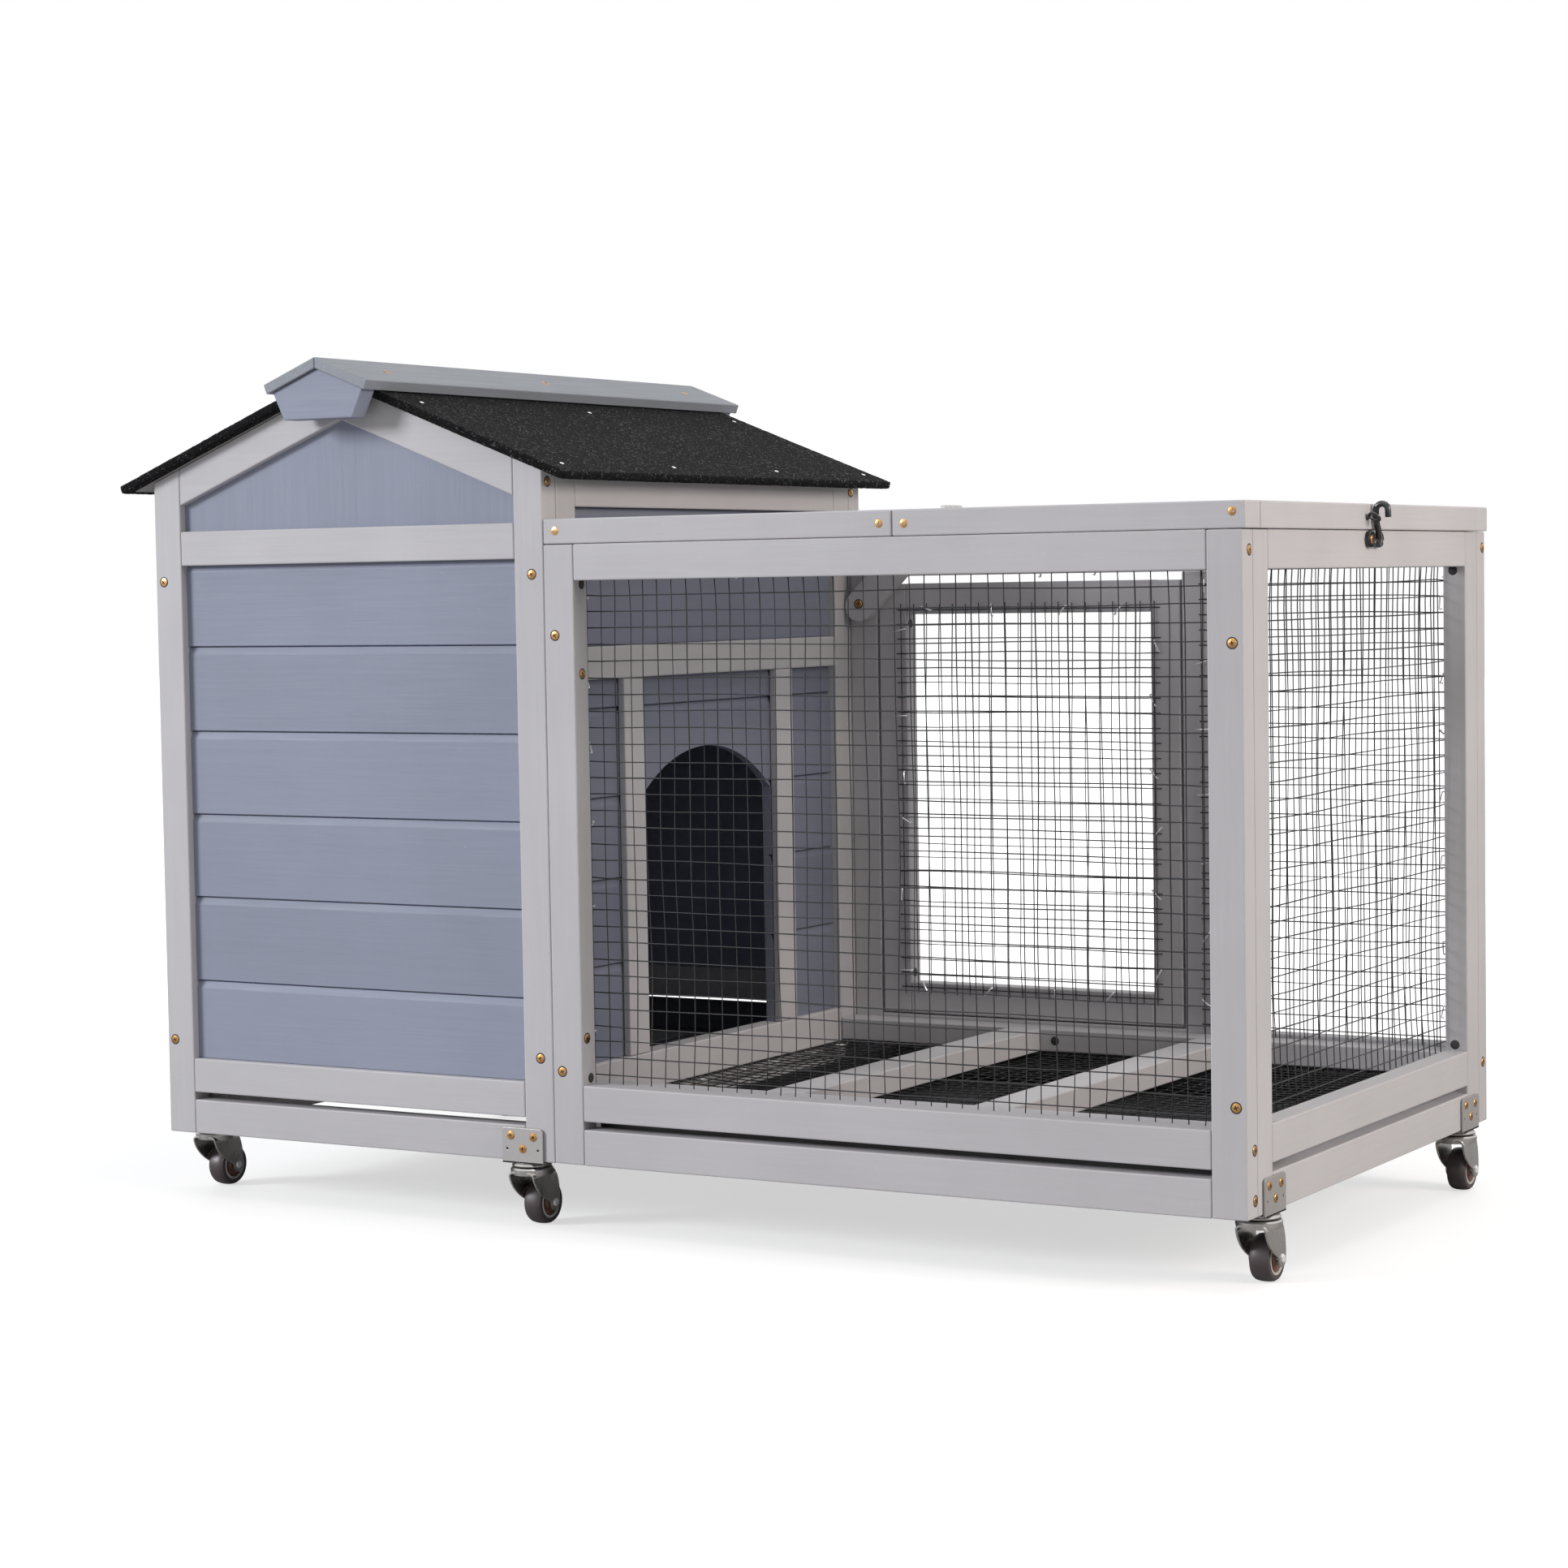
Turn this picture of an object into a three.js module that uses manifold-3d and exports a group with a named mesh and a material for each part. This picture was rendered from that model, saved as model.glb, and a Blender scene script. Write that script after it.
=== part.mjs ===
// Rabbit hutch on casters: a gabled timber house joined to a long wire-mesh run.
// Units are millimetres. X runs along the hutch from the house to the run, Y from front to back,
// Z up. Pieces are drawn with X = 0 at the house's outer side, Y = 0 at the front face and Z = 0
// at the floor. The finished hutch is then moved so that its origin is at the bottom centre.

import * as THREE from 'three';
import { mergeVertices } from 'three/addons/utils/BufferGeometryUtils.js';
import Module from 'manifold-3d';

const wasm = await Module();
wasm.setup();

// ---------------------------------------------------------------- driving dimensions

const fit = 0.3;               // gap between pieces that touch
const workingGap = 0.9;        // gap beside a leaf or brace that has to clear its neighbour
const past = 1;                // how far a cutting shape runs past the piece that it cuts
const mergeDistance = 1e-4;    // corners closer than this are one corner
const pinSides = 12;           // facets of pins and their bores
const roundSides = 16;         // facets of knuckles, eyes and heads
const raceSides = 24;          // facets of the fork's race
const cornerSegments = 10;     // steps round the end of a round-ended bar
const archSegments = 20;       // steps round the doorway's arch
const bossSegments = 6;        // steps round the fork's axle bosses

const houseWidth = 400;        // house, along X
const runLength = 600;         // run, along X
const depth = 520;             // front face to rear face
const casterHeight = 55;       // floor to the underside of the frames
const runHeight = 497.5;       // underside of the frames to the top of the run's side frames

const thickness = 19.5;        // frame timber, across the panel
const stile = 28;              // upright frame timber, width seen
const rail = 29;               // level frame timber, width seen
const slot = 6.5;              // gap between the lower rail and the rail above it

const houseRise = 60;          // top of the run's side frames to the gable's outer corners
const ridgeRise = 78;          // gable's outer corners to its peak
const gableRailDrop = 71;      // gable's outer corners down to the underside of the rail below it
const slopingRail = 31;        // gable's sloping rails, measured upright

const boardRecess = 6.5;       // frame face to the boards behind it
const boardThickness = 8;
const rebate = 12;             // how far the boards reach behind the frame

const sillTop = 72;            // underside of the frames to the doorway's sill
const sillHeight = 30;
const doorwayMiddle = 254;     // doorway centre, from the front face
const doorwayWidth = 217;
const doorwaySpring = 283;     // underside of the frames to where the arch starts
const doorwayRise = 42;        // height of the arch
const doorPost = 30;           // battens beside the doorway
const wallRail = 387.5;        // underside of the frames to the rail over the doorway
const wallRailHeight = 27;

const roofThickness = 8.5;
const eaveOverhang = 27;       // roof past the house sides
const gableOverhang = 11;      // roof past the gables
const capThickness = 8.5;
const capRun = 50;             // ridge to the cap's lower edge, along X
const capOverhang = 32;        // ridge cap past the gables
const blockThickness = 17.5;   // ridge end blocks, along Y
const blockHeight = 41;
const blockShoulder = 46;      // half width at the shoulders
const blockFoot = 35;          // half width at the bottom

const lidThickness = 20;
const lidRail = 28;            // lid and top panel timber, width seen
const lidOverhang = 2.7;       // lid past the run's end
const fixedTopLength = 316.6;  // top panel, from the house to the lid

const meshThickness = 1.2;
const meshLap = 10;            // how far the mesh reaches over its frame
const lidMeshLap = 7;
const topMeshGap = 1.2;        // top mesh to the frames below the lid

const floorTop = 63;           // underside of the frames to the top of the floor bars
const floorTimber = 19.5;      // floor bars, upright
const floorEdge = 28;          // floor frame's front and rear timbers
const floorBar = 34;           // floor bars, along X
const firstBar = 188;          // house to the first bar's centre
const barSpacing = 184;

const trayWall = 2.5;
const trayHeight = 31;
const trayRest = 36;           // underside of the frames to the house tray
const traySideGap = 2;         // tray to the stiles that it slides between
const trayFrontGap = 2;        // tray to the front frame's back
const trayMouthGap = 4;        // top of the house tray to the top of its mouth
const runTrayRest = 7;         // underside of the frames to the run tray
const runTrayHeight = 26;
const ledgeDepth = 22.5;       // tray ledges, out from the wall
const ledgeHeight = 20;
const ledgeHousing = 0.5;      // ledge let into its wall
const ledgeEndGap = 5;

const midPost = 26;            // upright beside the rear door
const rearDoorWidth = 303.7;   // clear opening in the rear frame
const rearDoorGap = 2;         // door to its frame, at the sides
const rearDoorFoot = 3;        // door to its frame, below
const rearDoorHead = 7;        // door to its frame, above
const doorTimber = 28;

const hingeLength = 30;
const hingeLeaf = 18;
const hingeLeafThickness = 1;
const knuckleRadius = 2;
const hingePinRadius = 0.9;
const hingeBoreRadius = 1.25;
const knuckleCount = 3;
const lidHingeInset = 98;      // front and rear faces to the lid hinges
const doorHingeInset = 60;     // door's ends to its hinges

const buttonLength = 56;
const buttonWidth = 16;
const buttonThickness = 7;

const braceWidth = 28;
const braceThickness = 12;
const braceReach = 36;         // brace ends, apart along X and along Z

const latchMiddle = 256;       // latch centre, from the front face
const saddleLength = 26;
const saddleHeight = 13;
const saddlePlate = 1.6;
const saddleEar = 3;
const saddleEarReach = 2.9;    // pin's centre to the front of the ears
const latchPinDrop = 7.25;     // top of the run to the pin
const saddlePinRadius = 1.5;
const hookBoreRadius = 1.9;
const hookEyeRadius = 4.2;
const hookEyeRing = 3.2;       // radius of the round eye inside the strap's end
const hookWidth = 6;
const hookThickness = 3;
const hookRise = 20;           // pin to the start of the hook's bend
const hookBendRadius = 4.7;
const hookTip = 6;
const hookStraight = 5.2;      // pin to where the strap starts to lean
const hookBendSteps = 4;
const hookSteps = 24;
const hookLean = 6;            // how far the hook leans towards the front
const hookClearance = 3.5;     // lid's end to the hook's pin

const bracketWidth = 40;       // caster's angle plate
const bracketHeight = 27;
const bracketThickness = 2;
const swivelInset = 11;        // outer face to the swivel axis
const casterSetback = 47;      // front or rear face to the end casters
const casterCornerGap = 10;    // house's right side to the middle casters' plates
const upperRaceRadius = 14;
const upperRaceHeight = 3;
const kingPinRadius = 4;
const kingPinHeadRadius = 6;
const kingPinHeadHeight = 1.5;
const kingBoreRadius = 4.6;
const forkRaceRadius = 15.5;
const forkRaceHeight = 4;
const forkLeg = 2;
const forkGap = 1.2;           // wheel to each fork leg
const axleBoss = 6.5;
const axleRadius = 2.5;
const axleHead = 2;            // axle past each fork leg
const wheelRadius = 18;
const wheelWidth = 16.5;
const wheelBoreRadius = 2.9;
const wheelFacets = 24;
const tyreDepth = 4.5;
const tyreShoulder = 2;
const hubRadius = 7;
const hubInset = 1;
const wheelDish = 2;           // how deep the wheel's sides are dished
const dishEdge = 1;
const trail = 15;              // swivel axis to the axle

// ---------------------------------------------------------------- derived levels and places

const base = casterHeight;
const lowerRailTop = base + rail;
const upperRailBottom = lowerRailTop + slot;
const upperRailTop = upperRailBottom + rail;
const runTop = base + runHeight;
const topRailBottom = runTop - rail;
const lidBottom = runTop + fit;
const lidTop = lidBottom + lidThickness;

const eaveHeight = runHeight + houseRise;
const ridgeX = houseWidth / 2;
const slope = ridgeRise / ridgeX;
const pitch = Math.atan(slope);
const ridgeZ = base + eaveHeight + ridgeRise;
const gableRailBottom = base + eaveHeight - gableRailDrop;

const rearInner = depth - thickness;
const sideStart = thickness + fit;
const sideEnd = rearInner - fit;

const runStart = houseWidth + fit;
const runEnd = houseWidth + runLength;
const endInner = runEnd - thickness;
const lidSplit = houseWidth + fixedTopLength;
const lidEnd = runEnd + lidOverhang;

const floorBarTop = base + floorTop;
const floorMeshTop = floorBarTop - floorTimber - fit;
const midPostStart = runStart + stile + rearDoorWidth;
const hingeAxisHeight = knuckleRadius + fit;

// ---------------------------------------------------------------- finishes

const finishes = {
  frame: new THREE.MeshStandardMaterial({ color: 0xbdbbc2, roughness: 0.62, metalness: 0 }),
  boards: new THREE.MeshStandardMaterial({ color: 0x959cb4, roughness: 0.66, metalness: 0 }),
  ridge: new THREE.MeshStandardMaterial({ color: 0x8f979f, roughness: 0.64, metalness: 0 }),
  felt: new THREE.MeshStandardMaterial({ color: 0x1b1b1d, roughness: 0.95, metalness: 0 }),
  wire: new THREE.MeshStandardMaterial({ color: 0x17181a, roughness: 0.5, metalness: 0 }),
  tray: new THREE.MeshStandardMaterial({ color: 0x4a4c55, roughness: 0.5, metalness: 0 }),
  trayDark: new THREE.MeshStandardMaterial({ color: 0x141416, roughness: 0.45, metalness: 0 }),
  zinc: new THREE.MeshStandardMaterial({ color: 0xb4b2b0, roughness: 0.32, metalness: 1 }),
  blackSteel: new THREE.MeshStandardMaterial({ color: 0x1a1b1d, roughness: 0.35, metalness: 0.2 }),
  tread: new THREE.MeshStandardMaterial({ color: 0x4b4245, roughness: 0.6, metalness: 0 }),
};

// ---------------------------------------------------------------- geometry helpers

/** A three.js geometry as a manifold solid. */
function solid(geometry) {
  const bare = geometry.clone();
  bare.deleteAttribute('normal');
  bare.deleteAttribute('uv');
  const merged = mergeVertices(bare, mergeDistance);
  return new wasm.Manifold(new wasm.Mesh({
    numProp: 3,
    vertProperties: new Float32Array(merged.attributes.position.array),
    triVerts: new Uint32Array(merged.index.array),
  }));
}

/** A manifold solid as a three.js geometry with flat shading. */
function geometryOf(body) {
  const mesh = body.getMesh();
  const indexed = new THREE.BufferGeometry();
  indexed.setAttribute('position', new THREE.BufferAttribute(mesh.vertProperties, 3));
  indexed.setIndex(new THREE.BufferAttribute(mesh.triVerts, 1));
  const geometry = indexed.toNonIndexed();
  geometry.computeVertexNormals();
  return geometry;
}

/** Joins the first body with the rest. */
function join(first, ...others) {
  return others.reduce((sum, other) => sum.add(other), first);
}

/** Cuts every tool out of a body. */
function cut(body, ...tools) {
  return tools.reduce((rest, tool) => rest.subtract(tool), body);
}

/** An upright block between two corners, given as ranges. */
function block([x0, x1], [y0, y1], [z0, z1]) {
  const box = new THREE.BoxGeometry(x1 - x0, y1 - y0, z1 - z0);
  return solid(box.translate((x0 + x1) / 2, (y0 + y1) / 2, (z0 + z1) / 2));
}

/** A rod from one coordinate to another along X, Y or Z, centred on the other two. */
function rod(axis, radius, [from, to], centre, sides = 20) {
  const cylinder = new THREE.CylinderGeometry(radius, radius, to - from, sides);
  const middle = (from + to) / 2;
  if (axis === 'x') cylinder.rotateZ(Math.PI / 2).translate(middle, centre[0], centre[1]);
  if (axis === 'y') cylinder.translate(centre[0], middle, centre[1]);
  if (axis === 'z') cylinder.rotateX(Math.PI / 2).translate(centre[0], centre[1], middle);
  return solid(cylinder);
}

/** The four corners of a rectangle. */
function rectangle([u0, u1], [v0, v1]) {
  return [[u0, v0], [u1, v0], [u1, v1], [u0, v1]];
}

/** A shape from an outline's corners. */
function outlineShape(outline) {
  return new THREE.Shape(outline.map(([u, v]) => new THREE.Vector2(u, v)));
}

/** Extrudes a shape drawn as X, Z along Y, as Y, Z along X, or as X, Y along Z. */
function slab(shape, along, [from, to], curveSegments = 12) {
  const extruded = new THREE.ExtrudeGeometry(shape, {
    depth: to - from, bevelEnabled: false, curveSegments,
  });
  if (along === 'y') extruded.rotateX(Math.PI / 2).translate(0, to, 0);
  if (along === 'x') extruded.rotateX(Math.PI / 2).rotateZ(Math.PI / 2).translate(from, 0, 0);
  if (along === 'z') extruded.translate(0, 0, from);
  return solid(extruded);
}

/** A flat panel with openings cut right through it, each given by its corners. */
function panel(outline, openings, along, [from, to]) {
  const through = [from - past, to + past];
  const tools = openings.map((opening) => slab(outlineShape(opening), along, through));
  return cut(slab(outlineShape(outline), along, [from, to]), ...tools);
}

/** A bar with round ends between two points of its plane. */
function roundEndedShape([u0, v0], [u1, v1], radius) {
  const angle = Math.atan2(v1 - v0, u1 - u0);
  const shape = new THREE.Shape();
  shape.absarc(u1, v1, radius, angle - Math.PI / 2, angle + Math.PI / 2, false);
  shape.absarc(u0, v0, radius, angle + Math.PI / 2, angle + 3 * Math.PI / 2, false);
  shape.closePath();
  return shape;
}

const hutch = new THREE.Group();

/** Adds one named piece, drawn in place or placed in a parent group. */
function addPiece(name, body, finish, parent = hutch) {
  const piece = new THREE.Mesh(geometryOf(body), finish);
  piece.name = name;
  parent.add(piece);
  return piece;
}

// ---------------------------------------------------------------- house walls

/** Height of the gable's outer edge at x, raised by a lift. */
function gableLine(x, lift = 0) {
  return ridgeZ - slope * Math.abs(x - ridgeX) + lift;
}

/** The gable's five-cornered outline between two sides, from a foot up to a lifted roof line. */
function gableOutline([x0, x1], foot, lift) {
  const shoulders = [x1, x0].map((x) => [x, gableLine(x, lift)]);
  return [[x0, foot], [x1, foot], shoulders[0], [ridgeX, ridgeZ + lift], shoulders[1]];
}

/** A gable wall's frame and its boards. The face layer lies in faceY and the rebated layer in backY. */
function addGableWall(end, faceY, backY, boardY, lowOpening, sill) {
  const inner = [stile, houseWidth - stile];
  const behind = [stile - rebate, houseWidth - stile + rebate];
  const low = rectangle(inner, lowOpening);
  const panelOpening = rectangle(inner, [sill, gableRailBottom]);
  const peakOpening = gableOutline(inner, gableRailBottom + rail, -slopingRail);
  const rebateLift = rebate / Math.cos(pitch) - slopingRail;
  const rebateOpening = gableOutline(behind, sill - rebate, rebateLift);
  const outer = gableOutline([0, houseWidth], base, 0);
  const face = panel(outer, [low, panelOpening, peakOpening], 'y', faceY);
  const back = panel(outer, [low, rebateOpening], 'y', backY);
  addPiece(`house_${end}_frame`, join(face, back), finishes.frame);
  const boards = gableOutline([behind[0] + fit, behind[1] - fit], sill - rebate + fit, rebateLift - fit);
  addPiece(`house_${end}_boards`, slab(outlineShape(boards), 'y', boardY), finishes.boards);
}

/** Two numbers as a rising range. */
function rising(a, b) {
  return [Math.min(a, b), Math.max(a, b)];
}

/** Y ranges of a gable wall's layers, counted inwards from its outer face. */
function gableLayers(outerFace, inwards) {
  const layer = (near, far) => rising(outerFace + inwards * near, outerFace + inwards * far);
  const boardFace = boardRecess + fit;
  const boardBack = boardFace + boardThickness;
  return [layer(0, boardRecess), layer(boardRecess, thickness), layer(boardFace, boardBack)];
}

function addHouseEnds() {
  addGableWall('front', ...gableLayers(0, 1), [lowerRailTop, upperRailBottom], upperRailTop);
  const mouth = base + trayRest + trayHeight + trayMouthGap;
  addGableWall('rear', ...gableLayers(depth, -1), [lowerRailTop, mouth], mouth + rail);
}

/** A ledge that carries one side of a tray, let into the wall it is fixed to. */
function ledge([x0, x1], top, height) {
  return block([x0, x1], [sideStart + ledgeEndGap, sideEnd - ledgeEndGap], [top - height, top]);
}

const sideTop = base + eaveHeight - fit;
const wallInner = [sideStart + stile, sideEnd - stile];
const wallBehind = [wallInner[0] - rebate, wallInner[1] + rebate];
const wallTopRail = sideTop - rail;
const houseTrayRest = base + trayRest;
const runTrayBottom = base + runTrayRest;

function addHouseLeftWall() {
  const outer = rectangle([sideStart, sideEnd], [base, sideTop]);
  const low = rectangle(wallInner, [lowerRailTop, upperRailBottom]);
  const faceOpening = rectangle(wallInner, [upperRailTop, wallTopRail]);
  const rebateOpening = rectangle(wallBehind, [upperRailTop - rebate, wallTopRail + rebate]);
  const face = panel(outer, [low, faceOpening], 'x', [0, boardRecess]);
  const back = panel(outer, [low, rebateOpening], 'x', [boardRecess, thickness]);
  const shelf = ledge([thickness - ledgeHousing, thickness + ledgeDepth], houseTrayRest - fit, ledgeHeight);
  addPiece('house_left_frame', join(face, back, shelf), finishes.frame);
  const boards = rectangle(
    [wallBehind[0] + fit, wallBehind[1] - fit],
    [upperRailTop - rebate + fit, wallTopRail + rebate - fit],
  );
  const boardX = [boardRecess + fit, boardRecess + fit + boardThickness];
  addPiece('house_left_boards', slab(outlineShape(boards), 'x', boardX), finishes.boards);
}

/** The doorway's outline: upright sides under a flat arch. */
function doorwayShape(foot) {
  const left = doorwayMiddle - doorwayWidth / 2;
  const right = doorwayMiddle + doorwayWidth / 2;
  const spring = base + doorwaySpring;
  const radius = (doorwayWidth ** 2 / 4 + doorwayRise ** 2) / (2 * doorwayRise);
  const centre = spring + doorwayRise - radius;
  const start = Math.atan2(spring - centre, right - doorwayMiddle);
  const shape = new THREE.Shape();
  shape.moveTo(left, foot);
  shape.lineTo(right, foot);
  shape.absarc(doorwayMiddle, centre, radius, start, Math.PI - start, false);
  return shape;
}

function addHouseRightWall() {
  const sill = base + sillTop;
  const doorLeft = doorwayMiddle - doorwayWidth / 2;
  const doorRight = doorwayMiddle + doorwayWidth / 2;
  const railBottom = base + wallRail;
  const outer = rectangle([sideStart, sideEnd], [base, sideTop]);
  const low = rectangle(wallInner, [lowerRailTop, sill - sillHeight]);
  const faceOpenings = [
    low,
    rectangle([wallInner[0], doorLeft - doorPost], [sill, railBottom]),
    rectangle([doorLeft, doorRight], [sill, railBottom]),
    rectangle([doorRight + doorPost, wallInner[1]], [sill, railBottom]),
    rectangle(wallInner, [railBottom + wallRailHeight, wallTopRail]),
  ];
  const rebateOpening = rectangle(wallBehind, [sill - rebate, wallTopRail + rebate]);
  const outerX = houseWidth;
  const face = panel(outer, faceOpenings, 'x', [outerX - boardRecess, outerX]);
  const back = panel(outer, [low, rebateOpening], 'x', [outerX - thickness, outerX - boardRecess]);
  const innerX = outerX - thickness;
  const houseShelf = ledge([innerX - ledgeDepth, innerX + ledgeHousing], houseTrayRest - fit, ledgeHeight);
  const runShelfX = [outerX - ledgeHousing, outerX + stile + ledgeDepth];
  const runShelf = ledge(runShelfX, runTrayBottom - fit, runTrayRest - fit);
  addPiece('house_right_frame', join(face, back, houseShelf, runShelf), finishes.frame);
  const boards = outlineShape(rectangle(
    [wallBehind[0] + fit, wallBehind[1] - fit],
    [sill - rebate + fit, wallTopRail + rebate - fit],
  ));
  const boardOuter = outerX - boardRecess - fit;
  const boardX = [boardOuter - boardThickness, boardOuter];
  const doorway = slab(doorwayShape(sill), 'x', [boardX[0] - past, boardX[1] + past], archSegments);
  addPiece('house_right_boards', cut(slab(boards, 'x', boardX), doorway), finishes.boards);
}

// ---------------------------------------------------------------- trays

/** An open tray: a floor and four walls. */
function tray([x0, x1], [y0, y1], [z0, z1]) {
  const hollowX = [x0 + trayWall, x1 - trayWall];
  const hollowY = [y0 + trayWall, y1 - trayWall];
  const hollow = block(hollowX, hollowY, [z0 + trayWall, z1 + past]);
  return cut(block([x0, x1], [y0, y1], [z0, z1]), hollow);
}

function addTrays() {
  const trayY = [thickness + trayFrontGap, depth];
  const houseX = [stile + traySideGap, houseWidth - stile - traySideGap];
  const runX = [runStart + stile + traySideGap, runEnd - stile - traySideGap];
  const houseZ = [houseTrayRest, houseTrayRest + trayHeight];
  const runZ = [runTrayBottom, runTrayBottom + runTrayHeight];
  addPiece('house_tray', tray(houseX, trayY, houseZ), finishes.tray);
  addPiece('run_tray', tray(runX, trayY, runZ), finishes.trayDark);
}

// ---------------------------------------------------------------- roof and ridge

/** A sloping board on one side of the ridge; side is -1 for the left and 1 for the right. */
function slopingBoard(side, lift, run, boardDepth, yRange) {
  const top = boardDepth / Math.cos(pitch);
  const near = ridgeX + side * fit / 2;
  const far = ridgeX + side * run;
  const lip = boardDepth * Math.sin(pitch);
  const outline = [
    [near, gableLine(near, lift)],
    [far, gableLine(far, lift)],
    [far + side * lip, gableLine(far, lift) + boardDepth * Math.cos(pitch)],
    [near, gableLine(near, lift + top)],
  ];
  return slab(outlineShape(side > 0 ? outline : outline.reverse()), 'y', yRange);
}

function addRoof() {
  const roofY = [-gableOverhang, depth + gableOverhang];
  const capY = [-capOverhang, depth + capOverhang];
  const roofTop = fit + roofThickness / Math.cos(pitch);
  for (const [side, name] of [[-1, 'left'], [1, 'right']]) {
    const roof = slopingBoard(side, fit, ridgeX + eaveOverhang, roofThickness, roofY);
    addPiece(`roof_${name}`, roof, finishes.felt);
    const cap = slopingBoard(side, roofTop + fit, capRun, capThickness, capY);
    addPiece(`ridge_cap_${name}`, cap, finishes.ridge);
  }
  const peak = ridgeZ + roofTop;
  const shoulder = peak - slope * blockShoulder;
  const outline = outlineShape([
    [ridgeX - blockFoot, peak - blockHeight],
    [ridgeX + blockFoot, peak - blockHeight],
    [ridgeX + blockShoulder, shoulder],
    [ridgeX, peak],
    [ridgeX - blockShoulder, shoulder],
  ]);
  const frontEnd = -gableOverhang - fit;
  const rearEnd = depth + gableOverhang + fit;
  addPiece('ridge_block_front', slab(outline, 'y', [frontEnd - blockThickness, frontEnd]), finishes.ridge);
  addPiece('ridge_block_rear', slab(outline, 'y', [rearEnd, rearEnd + blockThickness]), finishes.ridge);
}

// ---------------------------------------------------------------- run

const meshFoot = floorBarTop + fit;
const meshHead = topRailBottom + meshLap;

function addRunFront() {
  const inner = [runStart + stile, runEnd - stile];
  const openings = [
    rectangle(inner, [lowerRailTop, upperRailBottom]),
    rectangle(inner, [upperRailTop, topRailBottom]),
  ];
  const outer = rectangle([runStart, runEnd], [base, runTop]);
  addPiece('run_front_frame', panel(outer, openings, 'y', [0, thickness]), finishes.frame);
  const meshX = [inner[0] - meshLap, endInner - fit];
  const meshY = [thickness + fit, thickness + fit + meshThickness];
  addPiece('run_front_mesh', block(meshX, meshY, [meshFoot, meshHead]), finishes.wire);
}

function addRunEnd() {
  const inner = [sideStart + stile, sideEnd - stile];
  const openings = [
    rectangle(inner, [lowerRailTop, upperRailBottom]),
    rectangle(inner, [upperRailTop, topRailBottom]),
  ];
  const frame = panel(rectangle([sideStart, sideEnd], [base, runTop]), openings, 'x', [endInner, runEnd]);
  const shelf = ledge(
    [endInner - stile - ledgeDepth, endInner + ledgeHousing],
    runTrayBottom - fit,
    runTrayRest - fit,
  );
  addPiece('run_end_frame', join(frame, shelf), finishes.frame);
  const meshX = [endInner - fit - meshThickness, endInner - fit];
  const meshY = [inner[0] - meshLap, inner[1] + meshLap];
  addPiece('run_end_mesh', block(meshX, meshY, [meshFoot, meshHead]), finishes.wire);
}

function addRunRear() {
  const left = runStart + stile;
  const right = runEnd - stile;
  const outer = [
    [runStart, base], [left, base], [left, upperRailBottom], [right, upperRailBottom],
    [right, base], [runEnd, base], [runEnd, runTop], [runStart, runTop],
  ];
  const openings = [
    rectangle([left, midPostStart], [upperRailTop, topRailBottom]),
    rectangle([midPostStart + midPost, right], [upperRailTop, topRailBottom]),
  ];
  addPiece('run_rear_frame', panel(outer, openings, 'y', [rearInner, depth]), finishes.frame);
  const meshY = [rearInner - fit - meshThickness, rearInner - fit];
  const meshX = [midPostStart + midPost - meshLap, endInner - fit];
  addPiece('run_rear_mesh', block(meshX, meshY, [meshFoot, meshHead]), finishes.wire);
}

// ---------------------------------------------------------------- hinges

/** One hinge leaf about a pin on local Z. The leaf reaches along X, with its back at -knuckleRadius. */
function hingeLeafBody(direction, knuckles, pinned) {
  const leafY = [-knuckleRadius, -knuckleRadius + hingeLeafThickness];
  const half = hingeLength / 2;
  const clear = knuckleRadius + workingGap;
  const along = (near, far) => rising(direction * near, direction * far);
  let leaf = block(along(clear, clear + hingeLeaf), leafY, [-half, half]);
  for (const range of knuckles) {
    const tongue = block(along(0, clear + fit), leafY, range);
    leaf = join(leaf, rod('z', knuckleRadius, range, [0, 0], roundSides), tongue);
  }
  if (pinned) return join(leaf, rod('z', hingePinRadius, [-half, half], [0, 0], pinSides));
  return cut(leaf, rod('z', hingeBoreRadius, [-half, half], [0, 0], pinSides));
}

/** A butt hinge. Its frame turns local X, Y, Z to the fixed leaf, the outward side and the pin. */
function addHinge(name, centre, fixedLeafWay, outward, pinWay) {
  const mount = new THREE.Group();
  const turn = new THREE.Matrix4().makeBasis(fixedLeafWay, outward, pinWay);
  mount.quaternion.setFromRotationMatrix(turn);
  mount.position.copy(centre);
  hutch.add(mount);
  const half = hingeLength / 2;
  const middleHalf = half / knuckleCount;
  const outerKnuckles = [[-half, -middleHalf - fit / 2], [middleHalf + fit / 2, half]];
  const middleKnuckle = [[-middleHalf + fit / 2, middleHalf - fit / 2]];
  addPiece(`${name}_fixed_leaf`, hingeLeafBody(1, outerKnuckles, true), finishes.zinc, mount);
  addPiece(`${name}_moving_leaf`, hingeLeafBody(-1, middleKnuckle, false), finishes.zinc, mount);
}

const alongX = new THREE.Vector3(1, 0, 0);
const alongY = new THREE.Vector3(0, 1, 0);
const alongZ = new THREE.Vector3(0, 0, 1);

// ---------------------------------------------------------------- rear door

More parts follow.
